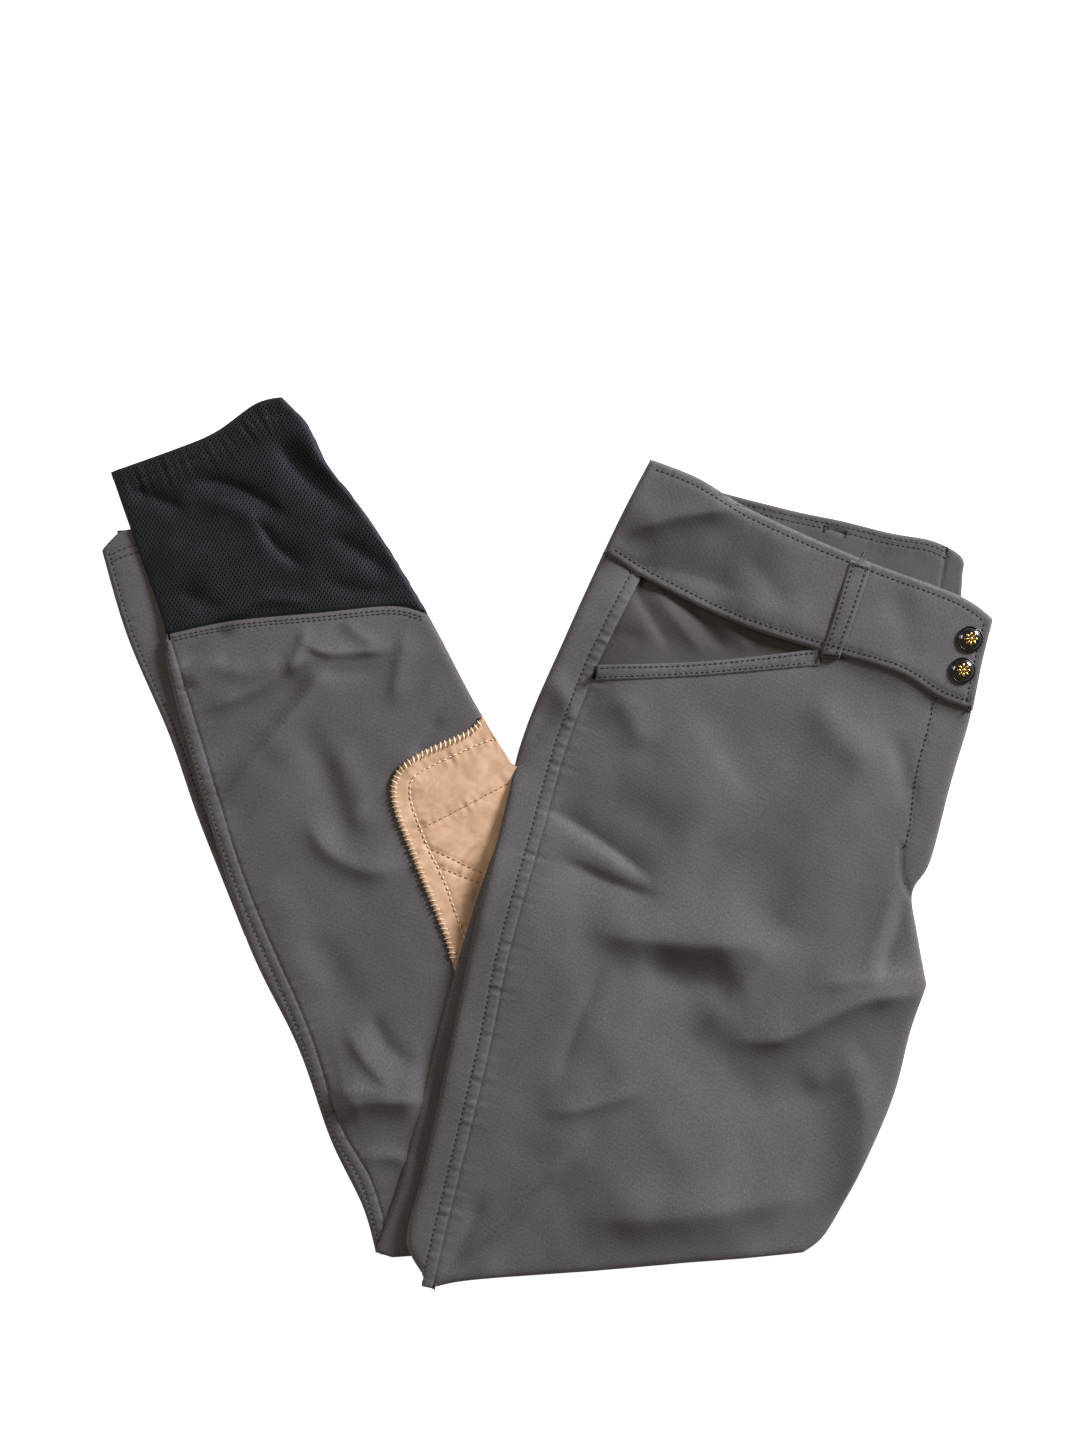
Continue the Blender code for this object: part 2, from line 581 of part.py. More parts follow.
def build():
    for thing in list(bpy.data.objects):
        bpy.data.objects.remove(thing)
    pieces = bpy.data.collections.new("riding_breeches")
    cutters = bpy.data.collections.new("cutters")
    bpy.context.scene.collection.children.link(pieces)
    bpy.context.scene.collection.children.link(cutters)

    thigh_outline = outline_of(BAND_LEFT_END, SIDE_FOLD, KNEE_FOLD, INSEAM_EDGE, FRONT_EDGE,
                               BAND_RIGHT_END, BAND_TOP)
    thigh_clear = add_prism("clear_of_thigh", grown(thigh_outline, GAP), cutters)
    regions = seam_regions()
    build_thigh(pieces, cutters, thigh_outline, regions)
    leg_outline = outline_of(LEG_LEFT_EDGE, LEG_UNDER_THIGH, LEG_RIGHT_EDGE, LEG_HEM)
    build_left_lower_leg(pieces, cutters, leg_outline, thigh_clear, regions)
    build_right_lower_leg(pieces, cutters, leg_outline)
    build_back_waistband(pieces, cutters, thigh_clear, regions)
    build_snaps(pieces)


build()
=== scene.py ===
# %% [markdown]
# # Riding breeches, folded and lying flat
#
# The pair is folded in half at centre front and centre back, laid down with the wearer's right
# thigh on top, and both lower legs are turned under at the knee and swung to the upper left.
# Everything here is a thin cloth, so the lesson is how to give flat cloth its life: rolled fold
# edges, seams that sink, stitches that dent, puckers, and creases placed one by one.
#
# The imported CAD model is loaded first and stays fixed. It says how large and how high the folded
# garment is, and the finished cloth has to fit that box.

# %% Load the frame
import math

import bmesh
import bpy
import numpy as np
from mathutils import Matrix, Vector
from mathutils.bvhtree import BVHTree


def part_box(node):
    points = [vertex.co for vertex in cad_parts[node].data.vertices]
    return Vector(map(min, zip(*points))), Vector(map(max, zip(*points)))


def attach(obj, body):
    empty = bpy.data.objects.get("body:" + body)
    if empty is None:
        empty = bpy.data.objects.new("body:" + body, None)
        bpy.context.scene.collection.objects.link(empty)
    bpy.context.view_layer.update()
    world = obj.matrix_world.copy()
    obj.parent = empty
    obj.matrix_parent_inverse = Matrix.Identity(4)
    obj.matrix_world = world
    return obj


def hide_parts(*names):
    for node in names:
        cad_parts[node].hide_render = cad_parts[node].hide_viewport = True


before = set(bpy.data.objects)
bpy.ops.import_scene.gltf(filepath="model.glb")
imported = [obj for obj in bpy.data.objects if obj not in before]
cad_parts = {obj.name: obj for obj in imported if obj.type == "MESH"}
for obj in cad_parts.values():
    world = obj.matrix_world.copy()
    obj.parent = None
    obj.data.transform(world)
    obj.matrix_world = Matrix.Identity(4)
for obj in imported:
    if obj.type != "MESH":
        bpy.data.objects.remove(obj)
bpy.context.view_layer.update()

MM = 0.001

# %% [markdown]
# ## Lines on the table
#
# A seam, a fold or a row of stitches is a line seen from above. Each is a short list of points,
# in millimetres from the middle of the garment, and a smooth curve runs through them.
# Neighbouring pieces take the same line, so their edges meet.

# %% Smooth lines and their neighbours


def smooth(points, step=3.0):
    """Points about one step apart on a smooth curve through the given points."""
    ends = [points[0], *points, points[-1]]
    line = [points[0]]
    for a, b, c, d in zip(ends, ends[1:], ends[2:], ends[3:]):
        count = max(1, round(math.dist(b, c) / step))
        for t in (index / count for index in range(1, count + 1)):
            line.append(tuple(
                0.5 * (2 * q + (r - p) * t + (2 * p - 5 * q + 4 * r - s) * t * t
                       + (3 * q - p - 3 * r + s) * t ** 3)
                for p, q, r, s in zip(a, b, c, d)))
    return line


def beside(line, distance):
    """The line moved to its right by a distance."""
    moved = []
    for index, (x, y) in enumerate(line):
        before = line[max(index - 1, 0)]
        after = line[min(index + 1, len(line) - 1)]
        length = math.dist(before, after)
        moved.append((x + distance * (after[1] - before[1]) / length,
                      y - distance * (after[0] - before[0]) / length))
    return moved


def stretch(line, start, end):
    """The part of a line between the points nearest to start and end, in that direction."""
    first = min(range(len(line)), key=lambda index: math.dist(line[index], start))
    last = min(range(len(line)), key=lambda index: math.dist(line[index], end))
    if first <= last:
        return line[first:last + 1]
    return line[last:first + 1][::-1]


def join(*lines):
    """One closed outline from lines laid end to end, without doubled corners."""
    outline = []
    for point in (point for line in lines for point in line):
        if not outline or math.dist(point, outline[-1]) > 0.4:
            outline.append(point)
    while math.dist(outline[0], outline[-1]) < 0.4:
        outline.pop()
    return outline


def measure(line, xy):
    """For each place: distance to the left of the line, distance along it, and the nearest point."""
    line = np.array(line)
    best = np.full(len(xy), 1e9)
    left = np.zeros(len(xy))
    along = np.zeros(len(xy))
    foot = np.zeros((len(xy), 2))
    walked = 0.0
    for start, end in zip(line, line[1:]):
        way = end - start
        length = math.hypot(*way)
        offset = xy - start
        t = np.clip(offset @ way / length ** 2, 0.0, 1.0)
        near = start + t[:, None] * way
        gap = np.hypot(*(xy - near).T)
        closer = gap < best
        side = np.sign(way[0] * offset[:, 1] - way[1] * offset[:, 0])
        best = np.where(closer, gap, best)
        left = np.where(closer, gap * np.where(side < 0, -1.0, 1.0), left)
        along = np.where(closer, walked + t * length, along)
        foot = np.where(closer[:, None], near, foot)
        walked += length
    return left, along, foot


def ease(t):
    """A smooth step from 0 to 1."""
    t = np.clip(t, 0.0, 1.0)
    return t * t * (3 - 2 * t)


# %% Corners and lines of the garment
WAIST_LEFT = (33.6, 166.0)
WAIST_OUTSEAM = (55.8, 152.4)
POCKET_LEFT = (29.6, 100.6)
POCKET_RIGHT = (157.0, 109.8)
WAIST_RIGHT = (245.1, 75.2)
BAND_CORNER = (256.6, 127.1)
BAND_LEFT = (60.3, 218.5)
KNEE_LEFT = (-64.7, -255.9)
KNEE_RIGHT = (148.4, -237.2)
CROTCH = (219.2, -83.4)
MESH_LEFT = (-216.8, 118.5)
MESH_RIGHT = (-67.9, 129.9)
LEGS_MEET = (-19.0, 42.6)
LEG_FOOT = (-98.0, -237.8)
LEG_SEAM_FOOT = (-88.5, -237.0)
LEG_FOOT_RIGHT = (-79.0, -236.4)
CUFF_LEFT = (-251.0, 212.1)
CUFF_RIGHT = (-152.3, 255.6)
RIGHT_HEM_LEFT = (-256.7, 167.2)
RIGHT_HEM_END = (-241.8, 179.0)
RIGHT_LEG_END = (-174.0, -56.0)
BACK_SEAM_TOP = (231.5, 168.4)
BACK_SEAM_LOW = (226.0, 134.5)

band_left_end = smooth([BAND_LEFT, (46.0, 191.5), WAIST_LEFT])
side_fold = smooth([WAIST_LEFT, (11.2, 116.7), (-12.4, 61.2), (-25.9, 7.2), (-39.0, -42.0),
                    (-56.6, -126.5), (-69.9, -187.5), (-79.4, -224.0), (-76.5, -238.6), KNEE_LEFT])
knee_fold = smooth([KNEE_LEFT, (-40.5, -251.6), (31.3, -246.4), (84.8, -241.5), KNEE_RIGHT])
inseam_edge = smooth([KNEE_RIGHT, (161.5, -226.5), (178.2, -195.5), (199.8, -148.9), (210.2, -110.2),
                      CROTCH])
front_edge = smooth([CROTCH, (214.0, -53.0), (211.6, -30.0), (221.5, -12.5), (232.9, 30.8),
                     (243.1, 64.9), WAIST_RIGHT])
band_right_end = smooth([WAIST_RIGHT, (250.0, 101.0), BAND_CORNER])
band_top = smooth([BAND_CORNER, (236.6, 140.6), (179.6, 162.2), (118.0, 189.2), (86.0, 208.0), BAND_LEFT])
waist_seam = (smooth([WAIST_LEFT, WAIST_OUTSEAM]) + smooth([WAIST_OUTSEAM, (87.1, 136.0), (118.0, 122.2),
              POCKET_RIGHT])[1:] + smooth([POCKET_RIGHT, (201.2, 96.8), (225.9, 82.1), WAIST_RIGHT])[1:])
outseam = (smooth([WAIST_OUTSEAM, (42.0, 126.0), POCKET_LEFT])
           + smooth([POCKET_LEFT, (12.0, 54.0), (-2.5, 2.0), (-20.8, -63.7), (-32.9, -122.6),
                     (-55.0, -214.0), KNEE_LEFT])[1:])
pocket_mouth = smooth([POCKET_LEFT, (91.7, 102.7), POCKET_RIGHT])
welt_low = smooth([(28.4, 91.9), (91.7, 95.0), (153.2, 100.6)])

leg_left_edge = smooth([CUFF_LEFT, (-234.6, 164.5), (-219.7, 121.9), (-217.5, 97.0), (-199.1, 28.2),
                        (-173.1, -55.9), (-142.7, -120.1), (-124.1, -172.4), (-105.6, -211.1), LEG_FOOT])
leg_foot = smooth([LEG_FOOT, LEG_SEAM_FOOT, LEG_FOOT_RIGHT])
leg_right_edge = smooth([LEGS_MEET, (-41.7, 80.5), MESH_RIGHT, (-99.9, 182.3), (-125.6, 216.2),
                         (-137.0, 238.7), CUFF_RIGHT])
cuff_hem = smooth([CUFF_RIGHT, (-167.6, 251.6), (-190.2, 235.5), (-212.0, 226.0), CUFF_LEFT])
mesh_seam = smooth([MESH_LEFT, (-180.6, 126.0), (-128.9, 130.9), (-88.0, 134.6), MESH_RIGHT])
leg_outseam = smooth([MESH_LEFT, (-206.6, 84.2), (-187.9, 21.9), (-169.7, -32.4), (-137.7, -106.4),
                      (-118.2, -163.9), (-100.5, -196.0), LEG_SEAM_FOOT])
left_thigh_edge = smooth([(-29.6, -3.0), (-31.9, -8.5), (-51.5, -72.5), (-69.9, -142.5), (-84.4, -197.8),
                          (-98.2, -237.4)])

patch_edge = smooth([(-36.5, 71.0), (-45.1, 62.4), (-71.6, 50.2), (-86.0, 38.5), (-88.0, 22.0),
                     (-77.9, -6.7), (-58.8, -53.5), (-53.4, -72.0)], step=2.0)
right_leg_edge = smooth([RIGHT_HEM_LEFT, (-242.1, 117.9), (-217.8, 60.5), (-200.4, 10.7), RIGHT_LEG_END])
right_leg_inner = beside(stretch(leg_left_edge, RIGHT_LEG_END, RIGHT_HEM_END), -0.4)
right_hem = smooth([RIGHT_HEM_END, (-247.5, 176.9), RIGHT_HEM_LEFT])

back_seam = smooth([BACK_SEAM_LOW, BACK_SEAM_TOP])
print("lines:", len(outseam), "points on the outseam,", len(leg_outseam), "on the lower one")

# %% [markdown]
# ## The height of folded cloth
#
# Seen from the side, the garment is a low hill: about 10 mm where four layers lie at the hip,
# more where the lower legs are folded beneath the thigh, and less at the thin mesh cuff. On top
# of that come creases. A crease is a ridge or a trough along a line, soft on one side and steeper
# on the other, and it fades out at both ends. All heights are functions of the place, so every
# piece that shares a stretch of cloth also shares its shape.

# %% Creases and waves


def crease(xy, points, width, height, lean=0.0, power=2.0):
    """A ridge along a line, or a trough if the height is negative; lean makes its left side wider."""
    left, along, _ = measure(smooth(points, step=6.0), xy)
    total = along.max() if len(along) else 1.0
    length = sum(math.dist(a, b) for a, b in zip(points, points[1:]))
    t = along / max(length, total)
    fade = ease(t / 0.3) * ease((1 - t) / 0.3)
    spread = width * np.where(left > 0, 1 + lean, 1 - lean)
    return height * fade * np.exp(-np.abs(left / spread) ** power)


def waves(xy, wavelength, height, seed):
    """A soft random swell with about the given wavelength."""
    rng = np.random.RandomState(seed)
    total = np.zeros(len(xy))
    for _ in range(7):
        angle = rng.uniform(0, math.tau)
        pace = math.tau / (wavelength * rng.uniform(0.7, 1.5))
        total += np.sin(xy @ (np.array((math.cos(angle), math.sin(angle))) * pace) + rng.uniform(0, math.tau))
    return height * total / 2.6


PUCKER_PERIODS = (5.3, 8.9, 83.0, 37.0)


def puckers(line, xy, reach, height, seed):
    """Small gathers across a stitched line, in bunches."""
    left, along, _ = measure(line, xy)
    rng = np.random.RandomState(seed)
    phases = rng.uniform(0, math.tau, 4)
    turns = [along * math.tau / period + phase for period, phase in zip(PUCKER_PERIODS, phases)]
    ripple = np.sin(turns[0]) + 0.8 * np.sin(turns[1])
    bunch = 0.55 + 0.45 * np.sin(turns[2]) * np.sin(turns[3])
    return height * ripple * bunch * np.exp(-(left / reach) ** 2)


def sunk(line, xy, depth, width):
    """A ditch along a seam."""
    left, _, _ = measure(line, xy)
    return -depth * np.exp(-(left / width) ** 2)


# %% Creases of the thigh, waist and lower leg
THIGH_CREASES = [
    # points, half width, height, lean, power
    ([(-4.0, 22.0), (30.0, 0.0), (66.0, -26.0)], 8.5, -3.6, 0.6, 1.2),
    ([(2.0, -8.0), (32.0, -22.0), (70.0, -36.0)], 8.0, -2.6, -0.45, 1.3),
    ([(26.0, 30.0), (52.0, 16.0), (84.0, 0.0)], 13.0, -1.4, 0.0, 2.0),
    ([(16.0, -50.0), (74.0, -58.0), (134.0, -60.0)], 19.0, 7.0, 0.3, 1.5),
    ([(140.0, -48.0), (114.0, -82.0), (84.0, -116.0)], 13.0, 4.6, 0.0, 1.2),
    ([(50.0, -68.0), (92.0, -84.0), (116.0, -80.0)], 15.0, -2.6, 0.0, 1.8),
    ([(98.0, -114.0), (134.0, -114.0), (164.0, -100.0), (190.0, -90.0), (232.0, -88.0)], 12.0, 5.4, 0.3, 1.3),
    ([(10.0, -216.0), (84.0, -212.0), (172.0, -200.0)], 20.0, 5.4, 0.35, 1.6),
    ([(72.0, 142.0), (46.0, 98.0), (26.0, 66.0)], 16.0, 2.6, 0.0, 2.0),
    ([(148.0, 88.0), (114.0, 24.0), (98.0, -46.0)], 27.0, -2.6, 0.0, 2.0),
    ([(196.0, 80.0), (168.0, 20.0), (146.0, -56.0)], 24.0, 2.8, 0.0, 2.0),
    ([(146.0, -142.0), (164.0, -136.0), (186.0, -124.0)], 9.0, 1.6, 0.2, 1.8),
    ([(150.0, -84.0), (186.0, -80.0), (222.0, -78.0)], 5.0, 1.2, 0.0, 1.4),
    ([(90.0, -140.0), (130.0, -146.0), (188.0, -146.0)], 14.0, -1.4, 0.0, 2.0),
    ([(170.0, -124.0), (182.0, -160.0), (176.0, -222.0)], 14.0, 3.4, 0.0, 1.6),
    ([(212.0, -22.0), (203.0, -48.0), (190.0, -86.0)], 6.0, -2.5, 0.4, 1.3),
    ([(202.0, -18.0), (194.0, -48.0), (182.0, -80.0)], 6.0, 1.5, 0.0, 1.5),
    ([(24.0, -166.0), (-6.0, -198.0), (-50.0, -246.0)], 6.5, 2.2, 0.5, 1.1),
    ([(6.0, -186.0), (-20.0, -216.0), (-52.0, -250.0)], 2.8, -1.5, 0.3, 1.2),
    ([(36.0, -68.0), (20.0, -100.0), (4.0, -146.0)], 5.0, -1.5, 0.0, 1.4),
    ([(-6.0, -156.0), (26.0, -152.0), (62.0, -140.0)], 6.0, 1.8, 0.3, 1.3),
    ([(22.0, -182.0), (-2.0, -212.0), (-36.0, -250.0)], 8.0, -2.0, 0.0, 1.8),
    ([(-34.0, -198.0), (-46.0, -226.0), (-60.0, -254.0)], 5.0, -1.6, 0.0, 1.7),
    ([(40.0, -206.0), (84.0, -196.0), (140.0, -206.0)], 20.0, -1.5, 0.0, 2.0),
    ([(6.0, -120.0), (10.0, -150.0), (2.0, -186.0)], 16.0, 1.5, 0.0, 2.0),
    ([(88.0, 82.0), (104.0, 52.0), (124.0, 22.0)], 13.0, -1.6, 0.3, 2.0),
    ([(150.0, 84.0), (168.0, 62.0), (192.0, 40.0)], 11.0, 1.5, 0.0, 2.0),
    ([(40.0, 86.0), (50.0, 68.0), (58.0, 50.0)], 8.0, 1.4, 0.0, 1.8),
    ([(196.0, 66.0), (205.0, 42.0), (210.0, 14.0)], 6.0, -1.3, 0.0, 2.0),
    ([(-22.0, 28.0), (-10.0, 58.0), (10.0, 84.0)], 8.0, -2.0, 0.3, 2.0),
    ([(0.0, 98.0), (12.0, 80.0), (18.0, 62.0)], 7.0, 1.4, 0.0, 1.8),
    ([(-40.0, -60.0), (-34.0, -30.0), (-24.0, 0.0)], 7.0, 1.2, 0.0, 2.0),
    ([(34.0, 160.0), (76.0, 154.0), (122.0, 138.0)], 15.0, -4.2, 0.0, 1.5),
    ([(112.0, 164.0), (128.0, 148.0), (140.0, 130.0)], 8.0, -0.9, 0.0, 1.8),
    ([(60.0, 212.0), (108.0, 188.0), (152.0, 158.0)], 17.0, 2.4, 0.3, 1.5),
    ([(40.0, 174.0), (76.0, 185.0), (120.0, 190.0)], 10.0, 4.0, 0.3, 1.4),
    ([(196.0, 146.0), (206.0, 122.0), (210.0, 98.0)], 9.0, -1.0, 0.0, 2.0),
]
LEG_CREASES = [
    ([(-106.0, 118.0), (-124.0, 101.0), (-147.0, 71.0), (-192.0, 18.0)], 9.0, 4.8, 0.0, 1.1),
    ([(-132.0, 104.0), (-160.0, 72.0), (-206.0, 40.0)], 11.0, -2.6, 0.0, 1.6),
    ([(-206.0, 72.0), (-168.0, 85.0), (-144.0, 100.0), (-120.0, 110.0)], 7.0, 2.6, 0.4, 1.3),
    ([(-190.0, 100.0), (-172.0, 96.0), (-150.0, 104.0)], 6.0, 1.6, 0.0, 1.8),
    ([(-152.0, 58.0), (-168.0, 38.0), (-190.0, 4.0)], 13.0, -1.6, 0.0, 2.0),
    ([(-144.0, 116.0), (-124.0, 107.0), (-84.0, 110.0)], 4.5, 2.6, 0.5, 1.2),
    ([(-138.0, 100.0), (-116.0, 96.0), (-92.0, 99.0)], 5.0, -0.9, 0.0, 1.7),
    ([(-214.0, 98.0), (-198.0, 109.0), (-176.0, 124.0)], 4.5, -2.4, 0.3, 1.6),
    ([(-208.0, 88.0), (-196.0, 98.0), (-182.0, 104.0)], 5.0, 2.0, 0.0, 1.6),
    ([(-150.0, 92.0), (-142.0, 108.0), (-136.0, 126.0)], 4.0, 2.0, 0.0, 1.5),
    ([(-118.0, 128.0), (-108.0, 118.0), (-96.0, 112.0)], 4.0, 1.2, 0.0, 1.7),
    ([(-78.0, 124.0), (-84.0, 104.0), (-88.0, 74.0)], 6.0, 1.8, 0.3, 1.7),
    ([(-144.0, 78.0), (-130.0, 44.0), (-108.0, -24.0)], 9.0, -1.8, 0.0, 2.0),
    ([(-124.0, 60.0), (-110.0, 30.0), (-100.0, 0.0)], 8.0, 1.3, 0.0, 2.0),
    ([(-140.0, 18.0), (-126.0, -6.0), (-100.0, -18.0), (-76.0, -12.0)], 9.0, 2.8, 0.3, 1.5),
    ([(-110.0, 10.0), (-96.0, 26.0), (-80.0, 44.0)], 5.0, -1.5, 0.0, 1.8),
    ([(-78.0, 46.0), (-68.0, 60.0), (-58.0, 72.0)], 4.0, -1.3, 0.0, 1.7),
    ([(-126.0, -156.0), (-104.0, -150.0), (-62.0, -150.0)], 15.0, 7.0, 0.3, 1.3),
    ([(-126.0, -150.0), (-108.0, -144.0), (-84.0, -146.0)], 5.0, 1.6, 0.0, 1.5),
    ([(-108.0, -186.0), (-92.0, -182.0), (-74.0, -186.0)], 5.0, 1.6, 0.0, 1.7),
    ([(-116.0, -106.0), (-104.0, -126.0), (-84.0, -146.0)], 6.0, 2.2, 0.3, 1.6),
    ([(-102.0, -96.0), (-92.0, -118.0), (-72.0, -134.0)], 6.0, -1.8, 0.0, 1.8),
    ([(-134.0, -50.0), (-118.0, -84.0), (-108.0, -108.0)], 11.0, -1.6, 0.0, 2.0),
    ([(-158.0, -20.0), (-146.0, -60.0), (-132.0, -96.0)], 10.0, 1.0, 0.0, 2.0),
    ([(-210.0, 208.0), (-178.0, 203.0), (-143.0, 182.0)], 6.0, -2.8, -0.3, 1.5),
    ([(-206.0, 198.0), (-180.0, 192.0), (-150.0, 174.0)], 6.5, 1.9, 0.0, 1.8),
    ([(-170.0, 192.0), (-155.0, 168.0), (-134.0, 154.0)], 4.5, -2.6, 0.3, 1.5),
    ([(-160.0, 238.0), (-138.0, 208.0), (-106.0, 184.0)], 8.0, -3.2, 0.2, 1.6),
    ([(-148.0, 242.0), (-128.0, 216.0), (-112.0, 204.0)], 6.0, 1.8, 0.0, 1.8),
    ([(-128.0, 178.0), (-108.0, 166.0), (-86.0, 150.0)], 5.5, -2.2, 0.0, 1.7),
    ([(-194.0, 124.0), (-162.0, 138.0), (-130.0, 136.0)], 4.5, 2.2, 0.0, 1.6),
    ([(-132.0, 150.0), (-110.0, 144.0), (-84.0, 142.0)], 5.0, -1.4, 0.0, 1.8),
    ([(-244.0, 202.0), (-226.0, 197.0), (-204.0, 188.0)], 5.0, -2.3, 0.0, 1.6),
    ([(-232.0, 176.0), (-205.0, 160.0), (-180.0, 150.0)], 14.0, 1.8, 0.0, 2.0),
    ([(-214.0, 146.0), (-196.0, 136.0), (-178.0, 132.0)], 5.0, -1.2, 0.0, 1.8),
]
SWELLS = [
    # middle, reach along x, reach along y, height
    ((98.0, 20.0), 60.0, 52.0, 5.0),
    ((84.0, -178.0), 66.0, 40.0, 1.6),
    ((156.0, -62.0), 30.0, 26.0, 1.4),
    ((186.0, 40.0), 24.0, 34.0, 1.2),
]
HIP_TOP = 10.0
LEGS_UNDER = 6.5
WAIST_RISE = 2.5
LEG_TOP = 7.6
CUFF_THINNER = 1.8
THIGH_CREASE_GAIN = 1.22
LEG_CREASE_GAIN = 1.1
RIGHT_LEG_TOP = 3.4
BACK_BAND_TOP = 5.4
LEG_EDGE_UNDER_THIGH = [(150.0, -237.0), (-18.0, 43.0)]


def thigh_ground(xy):
    """Top of the right thigh and waistband, without seams and fold edges."""
    over_legs, _, _ = measure(LEG_EDGE_UNDER_THIGH, xy)
    above_seam, _, _ = measure([WAIST_LEFT, WAIST_RIGHT], xy)
    z = HIP_TOP + LEGS_UNDER * ease((over_legs + 20) / 60) + WAIST_RISE * ease((above_seam + 12) / 20)
    z += THIGH_CREASE_GAIN * sum(crease(xy, *values) for values in THIGH_CREASES)
    for (x, y), along, up, height in SWELLS:
        z += height * np.exp(-((xy[:, 0] - x) / along) ** 2 - ((xy[:, 1] - y) / up) ** 2)
    return z + waves(xy, 95.0, 0.4, 3) + waves(xy, 30.0, 0.1, 4)


def leg_ground(xy):
    """Top of the left lower leg, without seams and fold edges."""
    past_seam, _, _ = measure([MESH_LEFT, MESH_RIGHT], xy)
    z = LEG_TOP - CUFF_THINNER * ease((past_seam + 10) / 40)
    z += LEG_CREASE_GAIN * sum(crease(xy, *values) for values in LEG_CREASES)
    return z + waves(xy, 80.0, 0.4, 8) + waves(xy, 26.0, 0.1, 9)


def right_leg_ground(xy):
    """Top of the right lower leg at the far left."""
    return RIGHT_LEG_TOP + waves(xy, 40.0, 0.2, 12)


def back_band_ground(xy):
    """Inner face of the back waistband."""
    ridge = crease(xy, [(190.0, 168.0), (212.0, 172.0), (232.0, 160.0)], 6.0, 0.7)
    return BACK_BAND_TOP + ridge + waves(xy, 45.0, 0.3, 14)


print("creases:", len(THIGH_CREASES), "on the thigh,", len(LEG_CREASES), "on the lower leg")

# %% [markdown]
# ## A net of cloth
#
# Each piece starts as one flat face with the outline of its cut. Insetting that face a few times
# gives rings along the edge, where cloth rolls over and needs fine faces. Cutting planes then
# slice what is left into a net of small squares. The same net is lifted to its height, and
# Solidify gives the cloth its wall. A net cut this way keeps a clean edge, which a plain grid
# trimmed to the outline wouldn't have.

# %% Cut a net


def sliced(net, faces, direction, pitch):
    """Cuts the faces along parallel lines, a pitch apart, and returns the pieces."""
    across = Vector((*direction, 0.0)).normalized()
    ahead = set(faces)
    for face in faces:
        ahead.update(face.verts)
        ahead.update(face.edges)
    values = [vertex.co.dot(across) / MM for face in faces for vertex in face.verts]
    last = max(values)
    line = math.ceil(min(values) / pitch) * pitch
    done = []
    while line < last:
        parts = bmesh.ops.bisect_plane(net, geom=list(ahead), dist=0.1 * pitch * MM,
                                       plane_co=across * line * MM, plane_no=across)["geom"]
        ahead = []
        for part in parts:
            corners = [part] if isinstance(part, bmesh.types.BMVert) else part.verts
            reach = max(vertex.co.dot(across) for vertex in corners) / MM
            if reach > line + 0.15 * pitch or not isinstance(part, bmesh.types.BMFace):
                if reach > line - 0.15 * pitch:
                    ahead.append(part)
            else:
                done.append(part)
        line += pitch
    return [part for part in set(done) | set(ahead) if isinstance(part, bmesh.types.BMFace) and part.is_valid]


def net_of(outline, cell, rings=(0.5, 0.8, 1.2)):
    """A flat net inside an outline: rings along the edge, squares inside."""
    net = bmesh.new()
    inner = [net.faces.new([net.verts.new((x * MM, y * MM, 0.0)) for x, y in outline])]
    for width in rings:
        bmesh.ops.inset_region(net, faces=inner, thickness=width * MM, use_boundary=True)
    inner = sliced(net, inner, (1.0, 0.0), cell)
    sliced(net, inner, (0.0, 1.0), cell)
    return net


def rim_ways(rim, taper):
    """For each corner of a rim, by its place: the way out of the net, and how far it may go there.

    The second number falls towards the ends and sharp corners of the rim, over the given taper.
    """
    out, edges_at = {}, {}
    for edge in rim:
        loop = edge.link_loops[0]
        way = loop.link_loop_next.vert.co - loop.vert.co
        for vertex in edge.verts:
            key = tuple(vertex.co)
            out[key] = out.get(key, Vector((0, 0, 0))) + Vector((way.y, -way.x, 0)).normalized()
            edges_at[key] = edges_at.get(key, 0) + 1
    sharp = [key for key in out if edges_at[key] == 1 or out[key].length < 1.75]
    ways = {}
    for key, way in out.items():
        gap = min((math.dist(key, corner) for corner in sharp), default=1.0)
        ways[key] = (way.normalized(), min(1.0, 0.12 + gap / taper) if taper else 1.0)
    return ways


def extruded(net, rim, keys):
    """Doubles a rim. Gives the new rim, and the key that each new corner takes from the old one."""
    old = {tuple(vertex.co): key for vertex, key in keys.items()}
    grown = bmesh.ops.extrude_edge_only(net, edges=rim)["geom"]
    fresh = {part: old[tuple(part.co)] for part in grown if isinstance(part, bmesh.types.BMVert)}
    rim = [part for part in grown if isinstance(part, bmesh.types.BMEdge)
           and part.verts[0] in fresh and part.verts[1] in fresh]
    return rim, fresh


def past_edge(net, folds, steps):
    """Adds a strip beyond the given fold lines, which lift() then wraps round the edge."""
    rim = [edge for edge in net.edges if edge.is_boundary]
    corners = list({vertex for edge in rim for vertex in edge.verts})
    xy = np.array([vertex.co.xy for vertex in corners]) / MM
    on_fold = np.any([np.abs(measure(fold, xy)[0]) < 0.25 for fold in folds], axis=0)
    folded = {vertex for vertex, on in zip(corners, on_fold) if on}
    rim = [edge for edge in rim if edge.verts[0] in folded and edge.verts[1] in folded]
    ways = rim_ways(rim, 0.004)
    keys = {vertex: tuple(vertex.co) for edge in rim for vertex in edge.verts}
    for step in steps:
        rim, keys = extruded(net, rim, keys)
        for vertex, key in keys.items():
            way, share = ways[key]
            vertex.co += way * share * step * MM


# %% Lift a net


